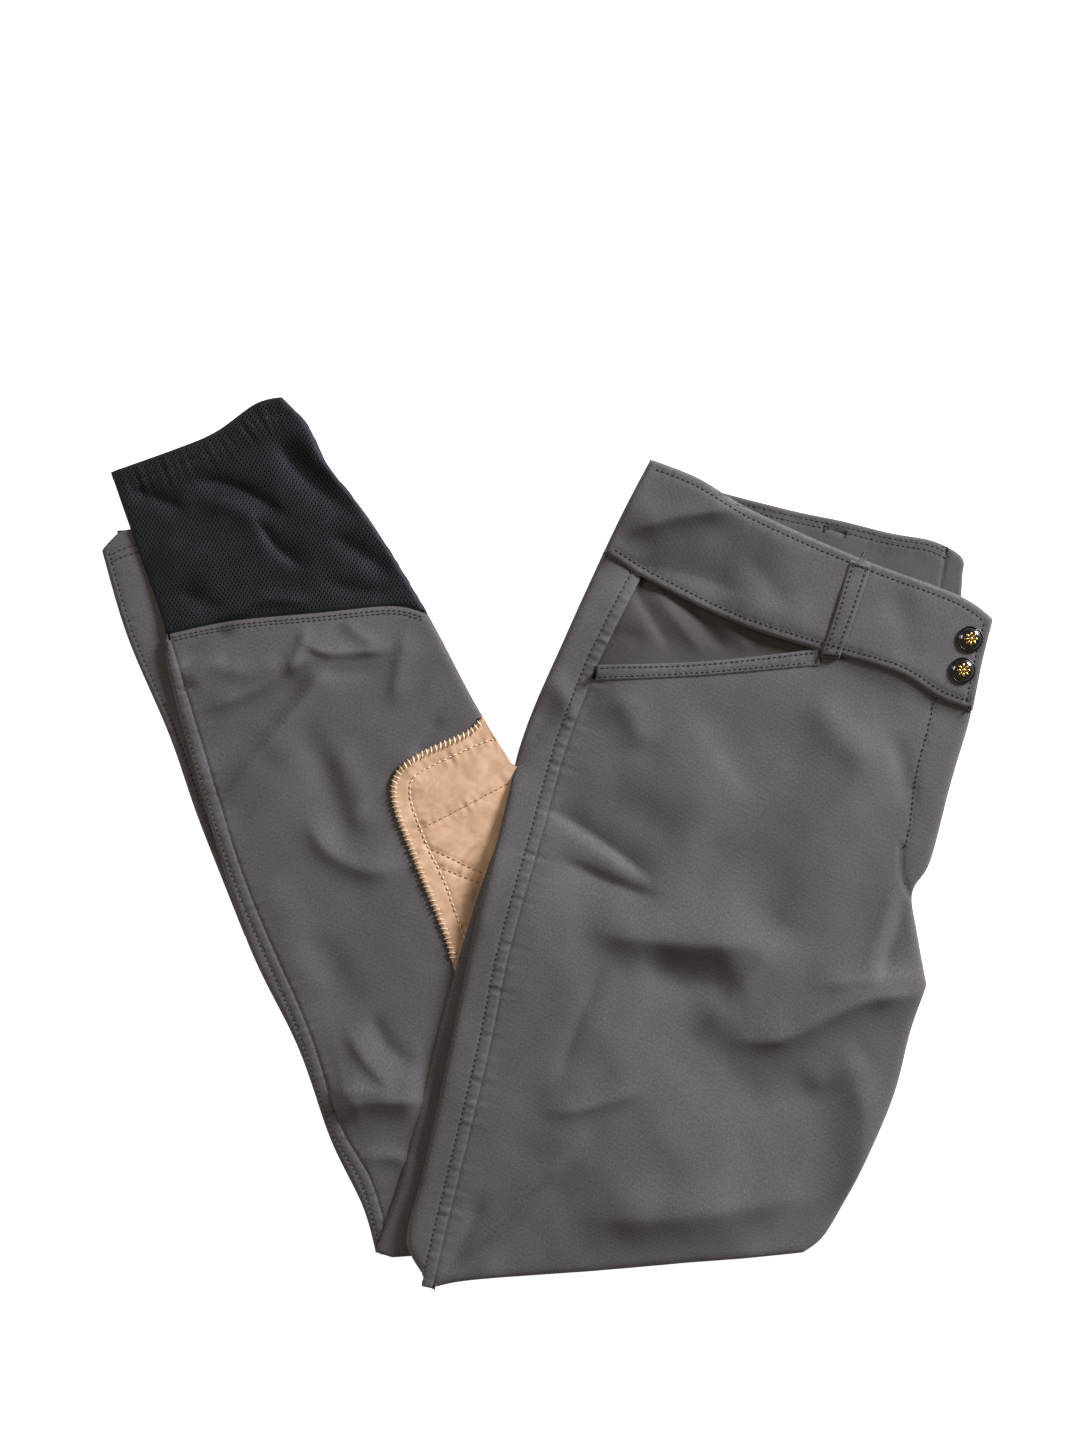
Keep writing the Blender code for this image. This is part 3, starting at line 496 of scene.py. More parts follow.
def on_ground(ground, xy, folds=()):
    """Places on a ground height, with the cloth rolled down at its folds and tucked under them.

    A fold is a line with the cloth on its left, the width and depth of its roll, and the radius
    of its edge. Cloth past the line takes a quarter turn round that edge and runs back below.
    """
    places = xy.copy()
    z = ground(xy)
    for line, roll, drop, edge in folds:
        left, _, foot = measure(line, xy)
        near = 1 - np.clip(left / roll, 0.0, 1.0)
        z = z - drop * (1 - np.sqrt(1 - near ** 2))
        past = left < -1e-3
        turned = np.clip(-left / edge, 0.0, math.pi / 2)
        inwards = edge * (1 - np.cos(turned)) + np.clip(-left - edge * math.pi / 2, 0.0, None)
        away = (xy - foot) / np.maximum(-left, 1e-6)[:, None]
        places = np.where(past[:, None], foot - away * inwards[:, None], places)
        z = np.where(past, z - edge * np.sin(turned), z)
    return np.column_stack((places, z))


def lift(net, ground, folds=()):
    """Moves a flat net to its ground height, round its folds."""
    xy = np.array([vertex.co.xy for vertex in net.verts]) / MM
    for vertex, point in zip(net.verts, on_ground(ground, xy, folds)):
        vertex.co = point * MM


def as_object(name, net):
    """The net as a smooth object in the scene."""
    mesh = bpy.data.meshes.new(name)
    net.to_mesh(mesh)
    net.free()
    mesh.shade_smooth()
    piece = bpy.data.objects.new(name, mesh)
    bpy.context.scene.collection.objects.link(piece)
    return piece


def finished(name, net, wall=1.0, grain=0.0):
    """The net as an object, with its wall below it and a UV map that runs with the cloth's grain."""
    piece = as_object(name, net)
    mesh = piece.data
    layer = mesh.uv_layers.new(name="grain")
    vertices = np.zeros(len(mesh.loops), dtype=int)
    mesh.loops.foreach_get("vertex_index", vertices)
    places = np.zeros(len(mesh.vertices) * 3)
    mesh.vertices.foreach_get("co", places)
    x, y, z = places.reshape(-1, 3)[vertices].T
    turn = math.radians(grain)
    across = x * math.cos(turn) + y * math.sin(turn)
    down = -x * math.sin(turn) + y * math.cos(turn) + z
    layer.data.foreach_set("uv", np.column_stack((across, down)).ravel())
    if wall:
        solid = piece.modifiers.new("wall", "SOLIDIFY")
        solid.thickness = wall * MM
        solid.offset = -1.0
    return piece


NARROWEST_CUT = 0.010


def cut_size(net, outline):
    """Width, length and area in metres of a flat net: of the smallest rectangle it is cut out of, or
    along its curve where it is a bent strip.
    """
    area = sum(face.calc_area() for face in net.faces)
    points = np.array([vertex.co.xy for vertex in net.verts])
    best = None
    for turn in np.radians(np.arange(0, 90, 2)):
        across = np.ptp(points @ (math.cos(turn), math.sin(turn)))
        down = np.ptp(points @ (-math.sin(turn), math.cos(turn)))
        if best is None or across * down < best[0] * best[1]:
            best = (float(across), float(down))
    if area < 0.4 * best[0] * best[1]:
        half_round = sum(math.dist(p, q) for p, q in zip(outline, outline[1:] + outline[:1])) * MM / 2
        length = half_round - area / half_round
        best = (max(area / length, NARROWEST_CUT), length)
    return *sorted(best), area


# %% [markdown]
# ## Cloth, mesh, suede, thread and metal
#
# The breeches are a matt woven stretch twill. Its threads are a fraction of a millimetre apart,
# too fine to see from here, so the ribs are drawn 2.8 mm apart and only just raised. Suede has a
# nap that lies lighter and darker in patches. The mesh is a smooth filament knit with a little
# shine. The snaps are pressed brass under black lacquer.

# %% Colour and node helpers


def linear(hex_colour):
    """A linear colour from an sRGB hex value."""
    channels = [int(hex_colour[index:index + 2], 16) / 255 for index in (1, 3, 5)]
    return (*(c / 12.92 if c <= 0.04045 else ((c + 0.055) / 1.055) ** 2.4 for c in channels), 1.0)


def add_node(tree, kind, links=(), **settings):
    """A node with its settings; links gives (input, source node, source output)."""
    node = tree.nodes.new(kind)
    for key, value in settings.items():
        if key in node.inputs:
            node.inputs[key].default_value = value
        else:
            setattr(node, key, value)
    for target, source, output in links:
        tree.links.new(source.outputs[output], node.inputs[target])
    return node


def new_material(name, **sockets):
    """A material with one Principled shader; the sockets that are the same all over are set here."""
    material = bpy.data.materials.new(name)
    material.use_nodes = True
    tree = material.node_tree
    shader = tree.nodes["Principled BSDF"]
    for key, value in sockets.items():
        shader.inputs[key.replace("_", " ")].default_value = value
    return material, tree, shader


def colour_between(tree, factor, output, low, high, dark, light):
    """A ramp from one colour to another where the factor runs from low to high."""
    ramp = add_node(tree, "ShaderNodeValToRGB", [("Fac", factor, output)])
    ramp.color_ramp.elements[0].position = low
    ramp.color_ramp.elements[0].color = linear(dark)
    ramp.color_ramp.elements[1].position = high
    ramp.color_ramp.elements[1].color = linear(light)
    return ramp


# %% Stretch cloth, outside and inside
PER_METRE = 1000.0
# A wave texture repeats every tau / 10 units along u + v in its diagonal form, tau / 20 along u
# in its X form. With these scales that is 2.8 mm across the ribs, and 1.8 mm for the knit's rows.
TWILL_SCALE = PER_METRE / 6.3
KNIT_SCALE = PER_METRE / 0.9 / 6.3


def stretch_cloth(name, dark, light):
    """Matt stretch twill: fine diagonal ribs, a little heather, and a soft bloom at grazing angles."""
    material, tree, shader = new_material(name, Roughness=0.88, Sheen_Weight=0.12, Sheen_Roughness=0.45)
    shader.inputs["Specular IOR Level"].default_value = 0.25
    uv = add_node(tree, "ShaderNodeUVMap", uv_map="grain")
    heather = add_node(tree, "ShaderNodeTexNoise", [("Vector", uv, "UV")],
                       Scale=PER_METRE / 1.1, Detail=3.0)
    cloud = add_node(tree, "ShaderNodeTexNoise", [("Vector", uv, "UV")], Scale=PER_METRE / 28.0, Detail=2.0)
    thinned = add_node(tree, "ShaderNodeMath", [(0, cloud, "Fac")], operation="MULTIPLY")
    thinned.inputs[1].default_value = 0.3
    both = add_node(tree, "ShaderNodeMath", [(0, heather, "Fac"), (1, thinned, "Value")], operation="ADD")
    colour = colour_between(tree, both, "Value", 0.45, 0.85, dark, light)
    tree.links.new(colour.outputs["Color"], shader.inputs["Base Color"])
    twill = add_node(tree, "ShaderNodeTexWave", [("Vector", uv, "UV")], Scale=TWILL_SCALE,
                     Distortion=0.6, bands_direction="DIAGONAL")
    rib = add_node(tree, "ShaderNodeBump", [("Height", twill, "Fac")], Strength=0.25, Distance=0.00006)
    fuzz = add_node(tree, "ShaderNodeBump", [("Height", heather, "Fac"), ("Normal", rib, "Normal")],
                    Strength=0.3, Distance=0.0001)
    tree.links.new(fuzz.outputs["Normal"], shader.inputs["Normal"])
    return material


CLOTH = stretch_cloth("stretch_twill", "#464241", "#595554")
# The facing is the panels' twill coloured darker: painted shade for the pocket's recess under the waistband
# and welt.
CLOTH_FACING_PAINTED_SHADE = stretch_cloth("stretch_twill_facing_painted_shade", "#3a3532", "#443f3b")
CLOTH_INSIDE = stretch_cloth("stretch_twill_inner_face", "#44403d", "#4d4946")
print("twill ribs drawn", round(PER_METRE * math.tau / 10 / math.sqrt(2) / TWILL_SCALE, 1), "mm apart")

# %% Mesh, suede and thread


def knit_mesh(name, dark, light):
    """Warp-knit athletic mesh: blue-black filament yarn with a soft shine."""
    material, tree, shader = new_material(name, Roughness=0.7, Specular_IOR_Level=0.25)
    uv = add_node(tree, "ShaderNodeUVMap", uv_map="grain")
    loops = add_node(tree, "ShaderNodeTexWave", [("Vector", uv, "UV")], Scale=KNIT_SCALE,
                     Distortion=1.5, bands_direction="X")
    tone = add_node(tree, "ShaderNodeTexNoise", [("Vector", uv, "UV")], Scale=PER_METRE / 14.0, Detail=4.0)
    colour = colour_between(tree, tone, "Fac", 0.35, 0.7, dark, light)
    tree.links.new(colour.outputs["Color"], shader.inputs["Base Color"])
    bump = add_node(tree, "ShaderNodeBump", [("Height", loops, "Fac")], Strength=0.4, Distance=0.0001)
    tree.links.new(bump.outputs["Normal"], shader.inputs["Normal"])
    return material


def napped_suede():
    """Suede: brushed fibres that lie lighter and darker in patches, with no shine."""
    material, tree, shader = new_material("napped_suede", Roughness=0.95, Sheen_Weight=0.35,
                                          Sheen_Roughness=0.5)
    shader.inputs["Specular IOR Level"].default_value = 0.15
    uv = add_node(tree, "ShaderNodeUVMap", uv_map="grain")
    patches = add_node(tree, "ShaderNodeTexNoise", [("Vector", uv, "UV")], Scale=PER_METRE / 16.0, Detail=6.0,
                       Roughness=0.65, Distortion=0.8)
    colour = colour_between(tree, patches, "Fac", 0.32, 0.68, "#b08b6a", "#d0ac8a")
    tree.links.new(colour.outputs["Color"], shader.inputs["Base Color"])
    nap = add_node(tree, "ShaderNodeTexNoise", [("Vector", uv, "UV")], Scale=PER_METRE / 0.7, Detail=5.0)
    bump = add_node(tree, "ShaderNodeBump", [("Height", nap, "Fac")], Strength=0.45, Distance=0.00025)
    tree.links.new(bump.outputs["Normal"], shader.inputs["Normal"])
    return material


def spun_thread(name, colour):
    """Spun polyester sewing thread."""
    material, tree, shader = new_material(name, Roughness=0.6, Sheen_Weight=0.1)
    place = add_node(tree, "ShaderNodeTexCoord")
    twist = add_node(tree, "ShaderNodeTexNoise", [("Vector", place, "Object")],
                     Scale=PER_METRE / 0.5, Detail=1.0)
    darker = "#" + "".join(f"{int(int(colour[index:index + 2], 16) * 0.75):02x}" for index in (1, 3, 5))
    tone = colour_between(tree, twist, "Fac", 0.35, 0.65, darker, colour)
    tree.links.new(tone.outputs["Color"], shader.inputs["Base Color"])
    return material


MESH = knit_mesh("athletic_mesh", "#080b0d", "#12171a")
# The tube's lower layer is the same mesh, coloured darker as painted shade inside the tube.
MESH_BELOW_PAINTED_SHADE = knit_mesh("athletic_mesh_below_painted_shade", "#050607", "#090b0c")
SUEDE = napped_suede()
DARK_THREAD = spun_thread("thread_charcoal", "#222123")
BLACK_THREAD = spun_thread("thread_black", "#15181a")
STRAW_THREAD = spun_thread("thread_straw", "#f0dcb8")
TAN_THREAD = spun_thread("thread_tan", "#a8825a")
LOOSE_THREAD = spun_thread("loose_thread", "#726a60")

# %% Lacquered and gilt brass


def worn_metal(name, colour, dull, roughness, metallic, coat):
    """Metal or lacquer with faint smears in its gloss."""
    material, tree, shader = new_material(name, Metallic=metallic, Coat_Weight=coat, Coat_Roughness=0.06)
    place = add_node(tree, "ShaderNodeTexCoord")
    smear = add_node(tree, "ShaderNodeTexNoise", [("Vector", place, "Object")],
                     Scale=PER_METRE / 4.0, Detail=4.0)
    tone = colour_between(tree, smear, "Fac", 0.4, 0.7, colour, dull)
    tree.links.new(tone.outputs["Color"], shader.inputs["Base Color"])
    gloss = add_node(tree, "ShaderNodeMapRange", [("Value", smear, "Fac")])
    gloss.inputs["To Min"].default_value = roughness
    gloss.inputs["To Max"].default_value = roughness * 1.8
    tree.links.new(gloss.outputs["Result"], shader.inputs["Roughness"])
    return material


LACQUER = worn_metal("black_lacquer", "#0b0b0a", "#171512", 0.12, 0.0, 1.0)
GILT = worn_metal("gilt_brass", "#e0b060", "#c2924a", 0.22, 1.0, 0.0)
RIM = worn_metal("blackened_brass", "#3a3835", "#262422", 0.25, 1.0, 0.3)
print("materials:", [material.name for material in bpy.data.materials if material.use_nodes][:12])

# %% [markdown]
# ## What every cloth piece is told
#
# One function makes a piece from its cut and says all of that.

# %% Make and declare a cloth piece
MADE = {}


def cloth_piece(name, node, cut, ground, material, cell=2.0, folds=(), wall=1.0, grain=0.0,
                rings=(0.5, 0.8, 1.2), tuck=(0.6, 0.6, 0.7, 0.8)):
    """One panel of cloth: its cut as a net, rolled at its folds and lifted to its height."""
    net = net_of(cut, cell, rings)
    if folds:
        past_edge(net, [fold[0] for fold in folds], tuck)
    size = cut_size(net, cut)
    lift(net, ground, folds)
    piece = finished(name, net, wall, grain)
    return declare(piece, material, [node], size)


def declare(piece, material, nodes, size=None):
    """Material, body and CAD node of one piece; a piece given no flat cut prints its faces."""
    piece.data.materials.append(material)
    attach(piece, "root")
    if nodes:
        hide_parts(*nodes)
    MADE[piece.name] = piece
    if size is None:
        print(f"{piece.name}: {len(piece.data.polygons)} faces")
        return piece
    return piece


# %% [markdown]
# ## Sewn heights
#
# A seam sinks into a narrow ditch. Beside it runs a row of topstitching, which dents the cloth,
# and on stretch cloth the stitched row is a little shorter than the cloth, so the strip between
# them gathers into puckers. The heights below are shared by the front, the back and the fell.

# %% Rows of stitches and the heights they sink into
FELL_WIDTH = 6.4
FELL_SEAM = (0.55, 0.7)
FELL_ROW = (0.3, 0.8)
FELL_RISE = 0.15
FLY_ROW = (0.5, 1.1)
WELT_ROW = (0.35, 0.7)
PATCH_SUNK = 1.0
EDGE_SHARE = 0.7
LEG_FELL_WIDTH = 5.6
fell_row = beside(outseam, FELL_WIDTH)
edge_gap = np.abs(measure(leg_left_edge, np.array(leg_outseam))[0])
leg_fell_row = []
for seam, full, gap in zip(leg_outseam, beside(leg_outseam, LEG_FELL_WIDTH), edge_gap):
    narrowed = np.array(seam) + (np.array(full) - seam) * gap * EDGE_SHARE / LEG_FELL_WIDTH
    leg_fell_row.append(full if gap > LEG_FELL_WIDTH / EDGE_SHARE else tuple(narrowed))
fly_row = smooth([(223.8, 83.5), (220.3, 65.0), (214.7, 44.4), (211.3, 23.9), (209.0, 5.8),
                  (206.3, -5.6)], 2.0)
fly_seam = smooth([(204.6, -3.0), (204.2, -10.0), (205.2, -21.6), (210.6, -34.0)], 2.0)
binding_rows = [beside(mesh_seam, 2.4), beside(mesh_seam, 4.2)]
cuff_row = stretch(beside(cuff_hem, -10.5), (-144.0, 244.0), (-247.0, 202.0))


def sewn_thigh(xy):
    """Top of the front and back panels, with their seams, rows and puckers."""
    z = thigh_ground(xy) + sunk(outseam, xy, *FELL_SEAM) + sunk(waist_seam, xy, 0.8, 1.2)
    z += sunk(fell_row, xy, *FELL_ROW) + puckers(outseam, xy, 8.0, 0.34, 21)
    z += sunk(fly_row, xy, *FLY_ROW) + puckers(fly_row, xy, 5.0, 0.14, 22) + sunk(fly_seam, xy, 1.3, 1.3)
    return z


def sewn_leg(xy):
    """Top of the lower leg's panels, with their seams, rows and puckers."""
    z = leg_ground(xy) + sunk(leg_outseam, xy, *FELL_SEAM) + sunk(mesh_seam, xy, 0.8, 1.0)
    z += sunk(leg_fell_row, xy, *FELL_ROW) + puckers(leg_outseam, xy, 7.0, 0.32, 23)
    z += sum(sunk(row, xy, 0.25, 0.7) for row in binding_rows)
    inside_patch, _, _ = measure(patch_edge, xy)
    return z + sunk(patch_edge, xy, 0.6, 1.5) - PATCH_SUNK * ease(inside_patch / 4.0)


def fell_puff(seam, width, xy):
    """The swell of the seam's folded layers between its ditch and its row."""
    left, _, _ = measure(seam, xy)
    t = np.clip(-left / width, 0.0, 1.0)
    return FELL_RISE * np.sqrt(np.clip(np.sin(t * math.pi), 0.0, 1.0))


# %% [markdown]
# ## Front and back of the right thigh
#
# The front panel is the big one. Its right and lower edges aren't cut edges but folds, where the
# cloth turns round the layers below: it wraps a quarter turn and runs back underneath. The outseam
# is felled: both seam allowances lie under the back panel and a row of stitches holds them.

# %% Thigh panels
FOLD = (5.0, 3.0, 1.2)
THIGH_GRAIN = 17.0

fold_right = knee_fold + inseam_edge[1:] + front_edge[1:]
front_cut = join(stretch(outseam, (26.5, 91.9), KNEE_LEFT), fold_right,
                 stretch(waist_seam, WAIST_RIGHT, POCKET_RIGHT), [(153.2, 100.6)], welt_low[::-1])
cloth_piece("right_front_panel", "right_front", front_cut, sewn_thigh, CLOTH, 2.0,
            [(fold_right, *FOLD)], grain=THIGH_GRAIN)

back_cut = join(side_fold, fell_row[::-1], stretch(waist_seam, WAIST_OUTSEAM, WAIST_LEFT))
cloth_piece("right_back_panel", "right_back", back_cut, sewn_thigh, CLOTH, 2.0,
            [(side_fold, *FOLD)], grain=THIGH_GRAIN)

fell_cut = join(fell_row, outseam[::-1])
cloth_piece("thigh_outseam_fell", "outseam_fell_thigh", fell_cut,
            lambda xy: sewn_thigh(xy) + fell_puff(outseam, FELL_WIDTH, xy), CLOTH, 1.2,
            grain=THIGH_GRAIN, rings=(0.4, 0.5))

# %% [markdown]
# ## Pocket
#
# The slanted pocket is cut out of the front panel. A facing shows in the opening, a layer lower,
# and a narrow welt folded double covers the raw edge of the mouth, stitched near both its edges
# and barred at the ends.

# %% Pocket facing and welt
facing_cut = join(stretch(outseam, WAIST_OUTSEAM, POCKET_LEFT), beside(pocket_mouth, 2.5),
                  stretch(waist_seam, POCKET_RIGHT, WAIST_OUTSEAM))


FACING_BELOW = 2.2
FACING_CREASES = [
    ([(46.0, 154.0), (58.0, 132.0), (74.0, 106.0)], 4.5, -1.8, 0.3, 1.6),
    ([(60.0, 148.0), (74.0, 128.0), (94.0, 104.0)], 5.0, 1.6, 0.0, 1.7),
    ([(80.0, 140.0), (94.0, 122.0), (106.0, 106.0)], 4.5, -1.5, 0.0, 1.7),
    ([(100.0, 128.0), (112.0, 116.0), (120.0, 106.0)], 5.0, 1.1, 0.0, 1.8),
    ([(30.0, 112.0), (44.0, 118.0), (60.0, 112.0)], 5.0, -0.9),
]


def facing_ground(xy):
    """The facing lies a layer lower and wrinkles, because nothing pulls it flat."""
    z = thigh_ground(xy) - FACING_BELOW + sunk(waist_seam, xy, 0.8, 1.8)
    z -= 1.8 * np.exp(-((xy[:, 0] - 92.0) / 42.0) ** 2 - ((xy[:, 1] - 108.0) / 14.0) ** 2)
    return z + sum(crease(xy, *values) for values in FACING_CREASES)


# The facing takes the twill coloured darker as painted shade.
cloth_piece("pocket_facing_layer", "pocket_facing", facing_cut, facing_ground, CLOTH_FACING_PAINTED_SHADE,
            1.4, grain=THIGH_GRAIN)

welt_rows = [beside(pocket_mouth, 1.8), beside(welt_low, -1.6)]
WELT_ABOVE = 1.0
welt_cut = join(beside(welt_low, 0.6), [(157.5, 100.5)], stretch(pocket_mouth, POCKET_RIGHT, (27.5, 100.6)))


def welt_ground(xy):
    """Two layers thick, dented along both stitch rows."""
    z = thigh_ground(xy) + WELT_ABOVE + puckers(pocket_mouth, xy, 12.0, 0.12, 31)
    return z + sum(sunk(row, xy, *WELT_ROW) for row in welt_rows)


cloth_piece("pocket_welt_strip", "pocket_welt", welt_cut, welt_ground, CLOTH, 1.0,
            [(pocket_mouth[::-1], 1.6, 0.8, 0.8), (beside(welt_low, 0.6), 1.2, 0.9, 0.5)], wall=0.8,
            grain=92.0, rings=(0.4, 0.5), tuck=(0.5, 0.5))

# %% [markdown]
# ## Waistband, belt loop and back of the waistband
#
# The waistband is a stiff strip, faced and stitched 5 mm inside each edge. Its own thickness puffs
# up between the row and the edge. One belt loop stands on it over the end of the pocket, folded
# under at both ends. Behind its top edge the inner face of the back waistband shows.

# %% Waistband and loop
band_cut = join(band_left_end, beside(waist_seam, 0.9), band_right_end, band_top)
band_rows = [stretch(beside(band_top, -4.6), (250.0, 125.5), (62.0, 212.0)),
             stretch(beside(waist_seam, -4.0), (40.0, 168.0), (243.0, 80.5))]
band_end_row = stretch(beside(band_right_end, -4.4), (241.5, 80.5), (251.0, 125.0))
BAND_ABOVE = 1.6


def band_ground(xy):
    """The waistband's face, with its puffed edges and dented rows."""
    z = thigh_ground(xy) + BAND_ABOVE
    z += sum(sunk(row, xy, 0.35, 1.0) + puckers(row, xy, 5.0, 0.14, 33 + index)
             for index, row in enumerate(band_rows))
    return z + sunk(band_end_row, xy, *FLY_ROW)


cloth_piece("front_waistband", "waistband_front", band_cut, band_ground, CLOTH, 1.4,
            [(band_top, 3.0, 2.0, 1.4), (band_left_end, 4.0, 2.6, 1.2), (band_right_end, 2.2, 1.4, 1.2),
             (beside(waist_seam, 0.9), 2.0, 1.1, 0.6)], wall=1.2, grain=-26.0)

LOOP = [(157.1, 104.7), (168.2, 104.0), (186.8, 157.9), (174.5, 161.0)]
loop_sides = [smooth([LOOP[1], (178.0, 131.5), LOOP[2]]), smooth([LOOP[3], (166.4, 133.0), LOOP[0]])]
loop_ends = [smooth([LOOP[0], LOOP[1]]), smooth([LOOP[2], LOOP[3]])]
loop_cut = join(loop_ends[0], loop_sides[0], loop_ends[1], loop_sides[1])
loop_rows = [beside(side, -2.4) for side in loop_sides]
LOOP_ABOVE = 2.1
LOOP_ARCH = 1.1
LOOP_LENGTH = 57.0


def loop_ground(xy):
    """The loop bridges from its stitched top to its stitched foot."""
    _, along, _ = measure([(162.7, 104.4), (180.6, 159.4)], xy)
    z = thigh_ground(xy) + LOOP_ABOVE + LOOP_ARCH * np.sin(math.pi * np.clip(along / LOOP_LENGTH, 0.0, 1.0))
    z += 0.5 * np.exp(-((along - 3.0) / 2.5) ** 2) + 0.4 * np.exp(-((along - 54.0) / 2.5) ** 2)
    return z + sum(sunk(row, xy, 0.3, 0.7) for row in loop_rows)


cloth_piece("belt_loop_strip", "belt_loop", loop_cut, loop_ground, CLOTH, 1.0,
            [(loop_sides[0], 1.3, 0.8, 0.7), (loop_sides[1], 1.3, 0.8, 0.7), (loop_ends[0], 1.6, 1.0, 1.0),
             (loop_ends[1], 1.6, 1.0, 0.8)], wall=0.8, grain=-19.0,
            rings=(0.4, 0.5), tuck=(0.5, 0.6))

# %% Back of the waistband
back_top = smooth([(240.0, 138.5), (240.8, 152.0), (240.5, 163.0), (224.3, 172.2), (199.6, 176.9),
                   (171.9, 183.8), (139.4, 190.7), (98.0, 201.5), (78.0, 208.0)], 2.0)
back_low = beside(stretch(band_top, (84.0, 206.0), (240.0, 138.5)), 7.0)
back_rows = [stretch(beside(back_top, -3.0), (233.0, 165.0), (98.0, 199.0)),
             stretch(beside(back_top, -6.2), (231.0, 162.0), (110.0, 193.0))]
slit = smooth([(161.1, 180.0), (167.0, 178.6), (173.4, 176.1)], 1.0)


def back_ground(xy):
    """The inner face of the back waistband, a little lower than the front one."""
    z = back_band_ground(xy) + sum(sunk(row, xy, 0.4, 0.8) for row in back_rows)
    z += sunk(back_seam, xy, 0.9, 1.0) + sunk(slit, xy, 1.2, 1.0)
    return z + puckers(back_rows[1], xy, 5.0, 0.15, 37)


right_of_seam = smooth([(228.5, 140.0), (229.5, 150.0), (231.0, 169.0)], 2.0)
right_top = stretch(back_top, (240.0, 138.5), (231.0, 169.0))
left_top = stretch(back_top, (231.0, 169.0), (78.0, 208.0))
band_right_cut = join([(228.0, 132.0), (238.0, 130.0)], right_top, right_of_seam[::-1])
band_left_cut = join(back_low, [(228.0, 132.0)], right_of_seam, left_top)
for name, node, cut, edge in (("back_waistband_left", "waistband_back_left", band_left_cut, left_top),
                              ("back_waistband_right", "waistband_back_right", band_right_cut, right_top)):
    cloth_piece(name, node, cut, back_ground, CLOTH_INSIDE, 1.4,
                [(edge, 2.4, 1.6, 0.8)], wall=0.9, grain=-22.0)

# %% [markdown]
# ## Left lower leg
#
# The leg is folded under at the knee, so it lies on the table beside the thigh. It tapers to a
# cuff of thin knitted mesh that fits inside a boot. Its outseam is felled like the thigh's.

# %% Lower leg panels
LEG_FOLD = (4.0, 2.0, 1.0)
LEG_GRAIN = 25.0
under_thigh = beside(stretch(side_fold, LEG_FOOT_RIGHT, LEGS_MEET), 5.0)
grey_left = stretch(leg_left_edge, MESH_LEFT, LEG_FOOT)
grey_right = stretch(leg_right_edge, LEGS_MEET, MESH_RIGHT)

leg_front_cut = join(leg_outseam, leg_foot[len(leg_foot) // 2:], under_thigh, grey_right, mesh_seam[::-1])
cloth_piece("left_leg_front_panel", "left_front_lower", leg_front_cut, sewn_leg, CLOTH, 1.8,
            [(grey_right, *LEG_FOLD)], grain=LEG_GRAIN)

leg_back_cut = join(grey_left, [(-93.5, -238.0)], leg_fell_row[2:][::-1])
cloth_piece("left_leg_back_panel", "left_back_lower", leg_back_cut, sewn_leg, CLOTH, 1.6,
            [(grey_left, *LEG_FOLD)], grain=LEG_GRAIN, rings=(0.5, 0.8))

leg_fell_cut = join(leg_fell_row[2:], leg_outseam[2:][::-1])
cloth_piece("leg_outseam_fell", "outseam_fell_leg", leg_fell_cut,
            lambda xy: sewn_leg(xy) + fell_puff(leg_outseam, LEG_FELL_WIDTH, xy), CLOTH, 1.2,
            grain=LEG_GRAIN, rings=(0.4, 0.5))

thigh_strip_cut = join(left_thigh_edge, [(-88.0, -239.5), (-66.0, -238.0)],
                       beside(stretch(side_fold, (-66.0, -170.0), (-28.0, 0.0)), 6.0), [(-26.0, 1.0)])
STRIP_TOP = 6.8
STRIP_RISE = 1.6


def strip_ground(xy):
    """The left thigh's folded edge lies on the lower leg and rises towards the right thigh."""
    left, _, _ = measure(left_thigh_edge, xy)
    return leg_ground(xy) * 0.4 + STRIP_TOP + STRIP_RISE * ease(left / 14.0) + waves(xy, 50.0, 0.35, 44)


cloth_piece("left_thigh_edge", "left_thigh_fold", thigh_strip_cut, strip_ground, CLOTH, 1.6,
            [(left_thigh_edge, 4.0, 2.4, 1.0)], grain=THIGH_GRAIN)

# %% Edge of the right lower leg
RIGHT_FOLD = (3.0, 1.4, 0.8)
right_cut = join(right_leg_edge, beside(right_leg_inner, 5.0), [(-238.0, 180.5)], right_hem)
right_edge_row = stretch(beside(right_leg_edge, -4.4), (-252.0, 166.0), (-176.0, -46.0))
right_hem_rows = [smooth([(-253.0, 163.9), (-245.0, 167.6), (-235.5, 171.0)], 2.0),
                  smooth([(-252.0, 159.9), (-244.0, 163.4), (-234.8, 166.4)], 2.0)]


def right_leg_sewn(xy):
    """The right leg's back panel at the far left, with its edge row and hem rows."""
    z = right_leg_ground(xy) + sunk(right_edge_row, xy, 0.4, 0.9) + puckers(right_edge_row, xy, 5.0, 0.22, 51)
    return z + sum(sunk(row, xy, 0.3, 0.8) for row in right_hem_rows)


cloth_piece("right_leg_back_panel", "right_back_lower", right_cut, right_leg_sewn, CLOTH,
            1.4, [(right_leg_edge, *RIGHT_FOLD), (right_hem, 1.6, 0.9, 0.6)],
            grain=18.0, wall=0.9)

# %% [markdown]
# ## Layers below
#
# Under the panels lie the rest of the folded layers. Each stack of them is one solid, which shows
# only along its sides as rounded edges, each a little in or out of line with the next.

# %% Stacked layers

LAYER_STEPS = 5
STACK_INSET = 0.9
THINNEST_STACK = 0.8


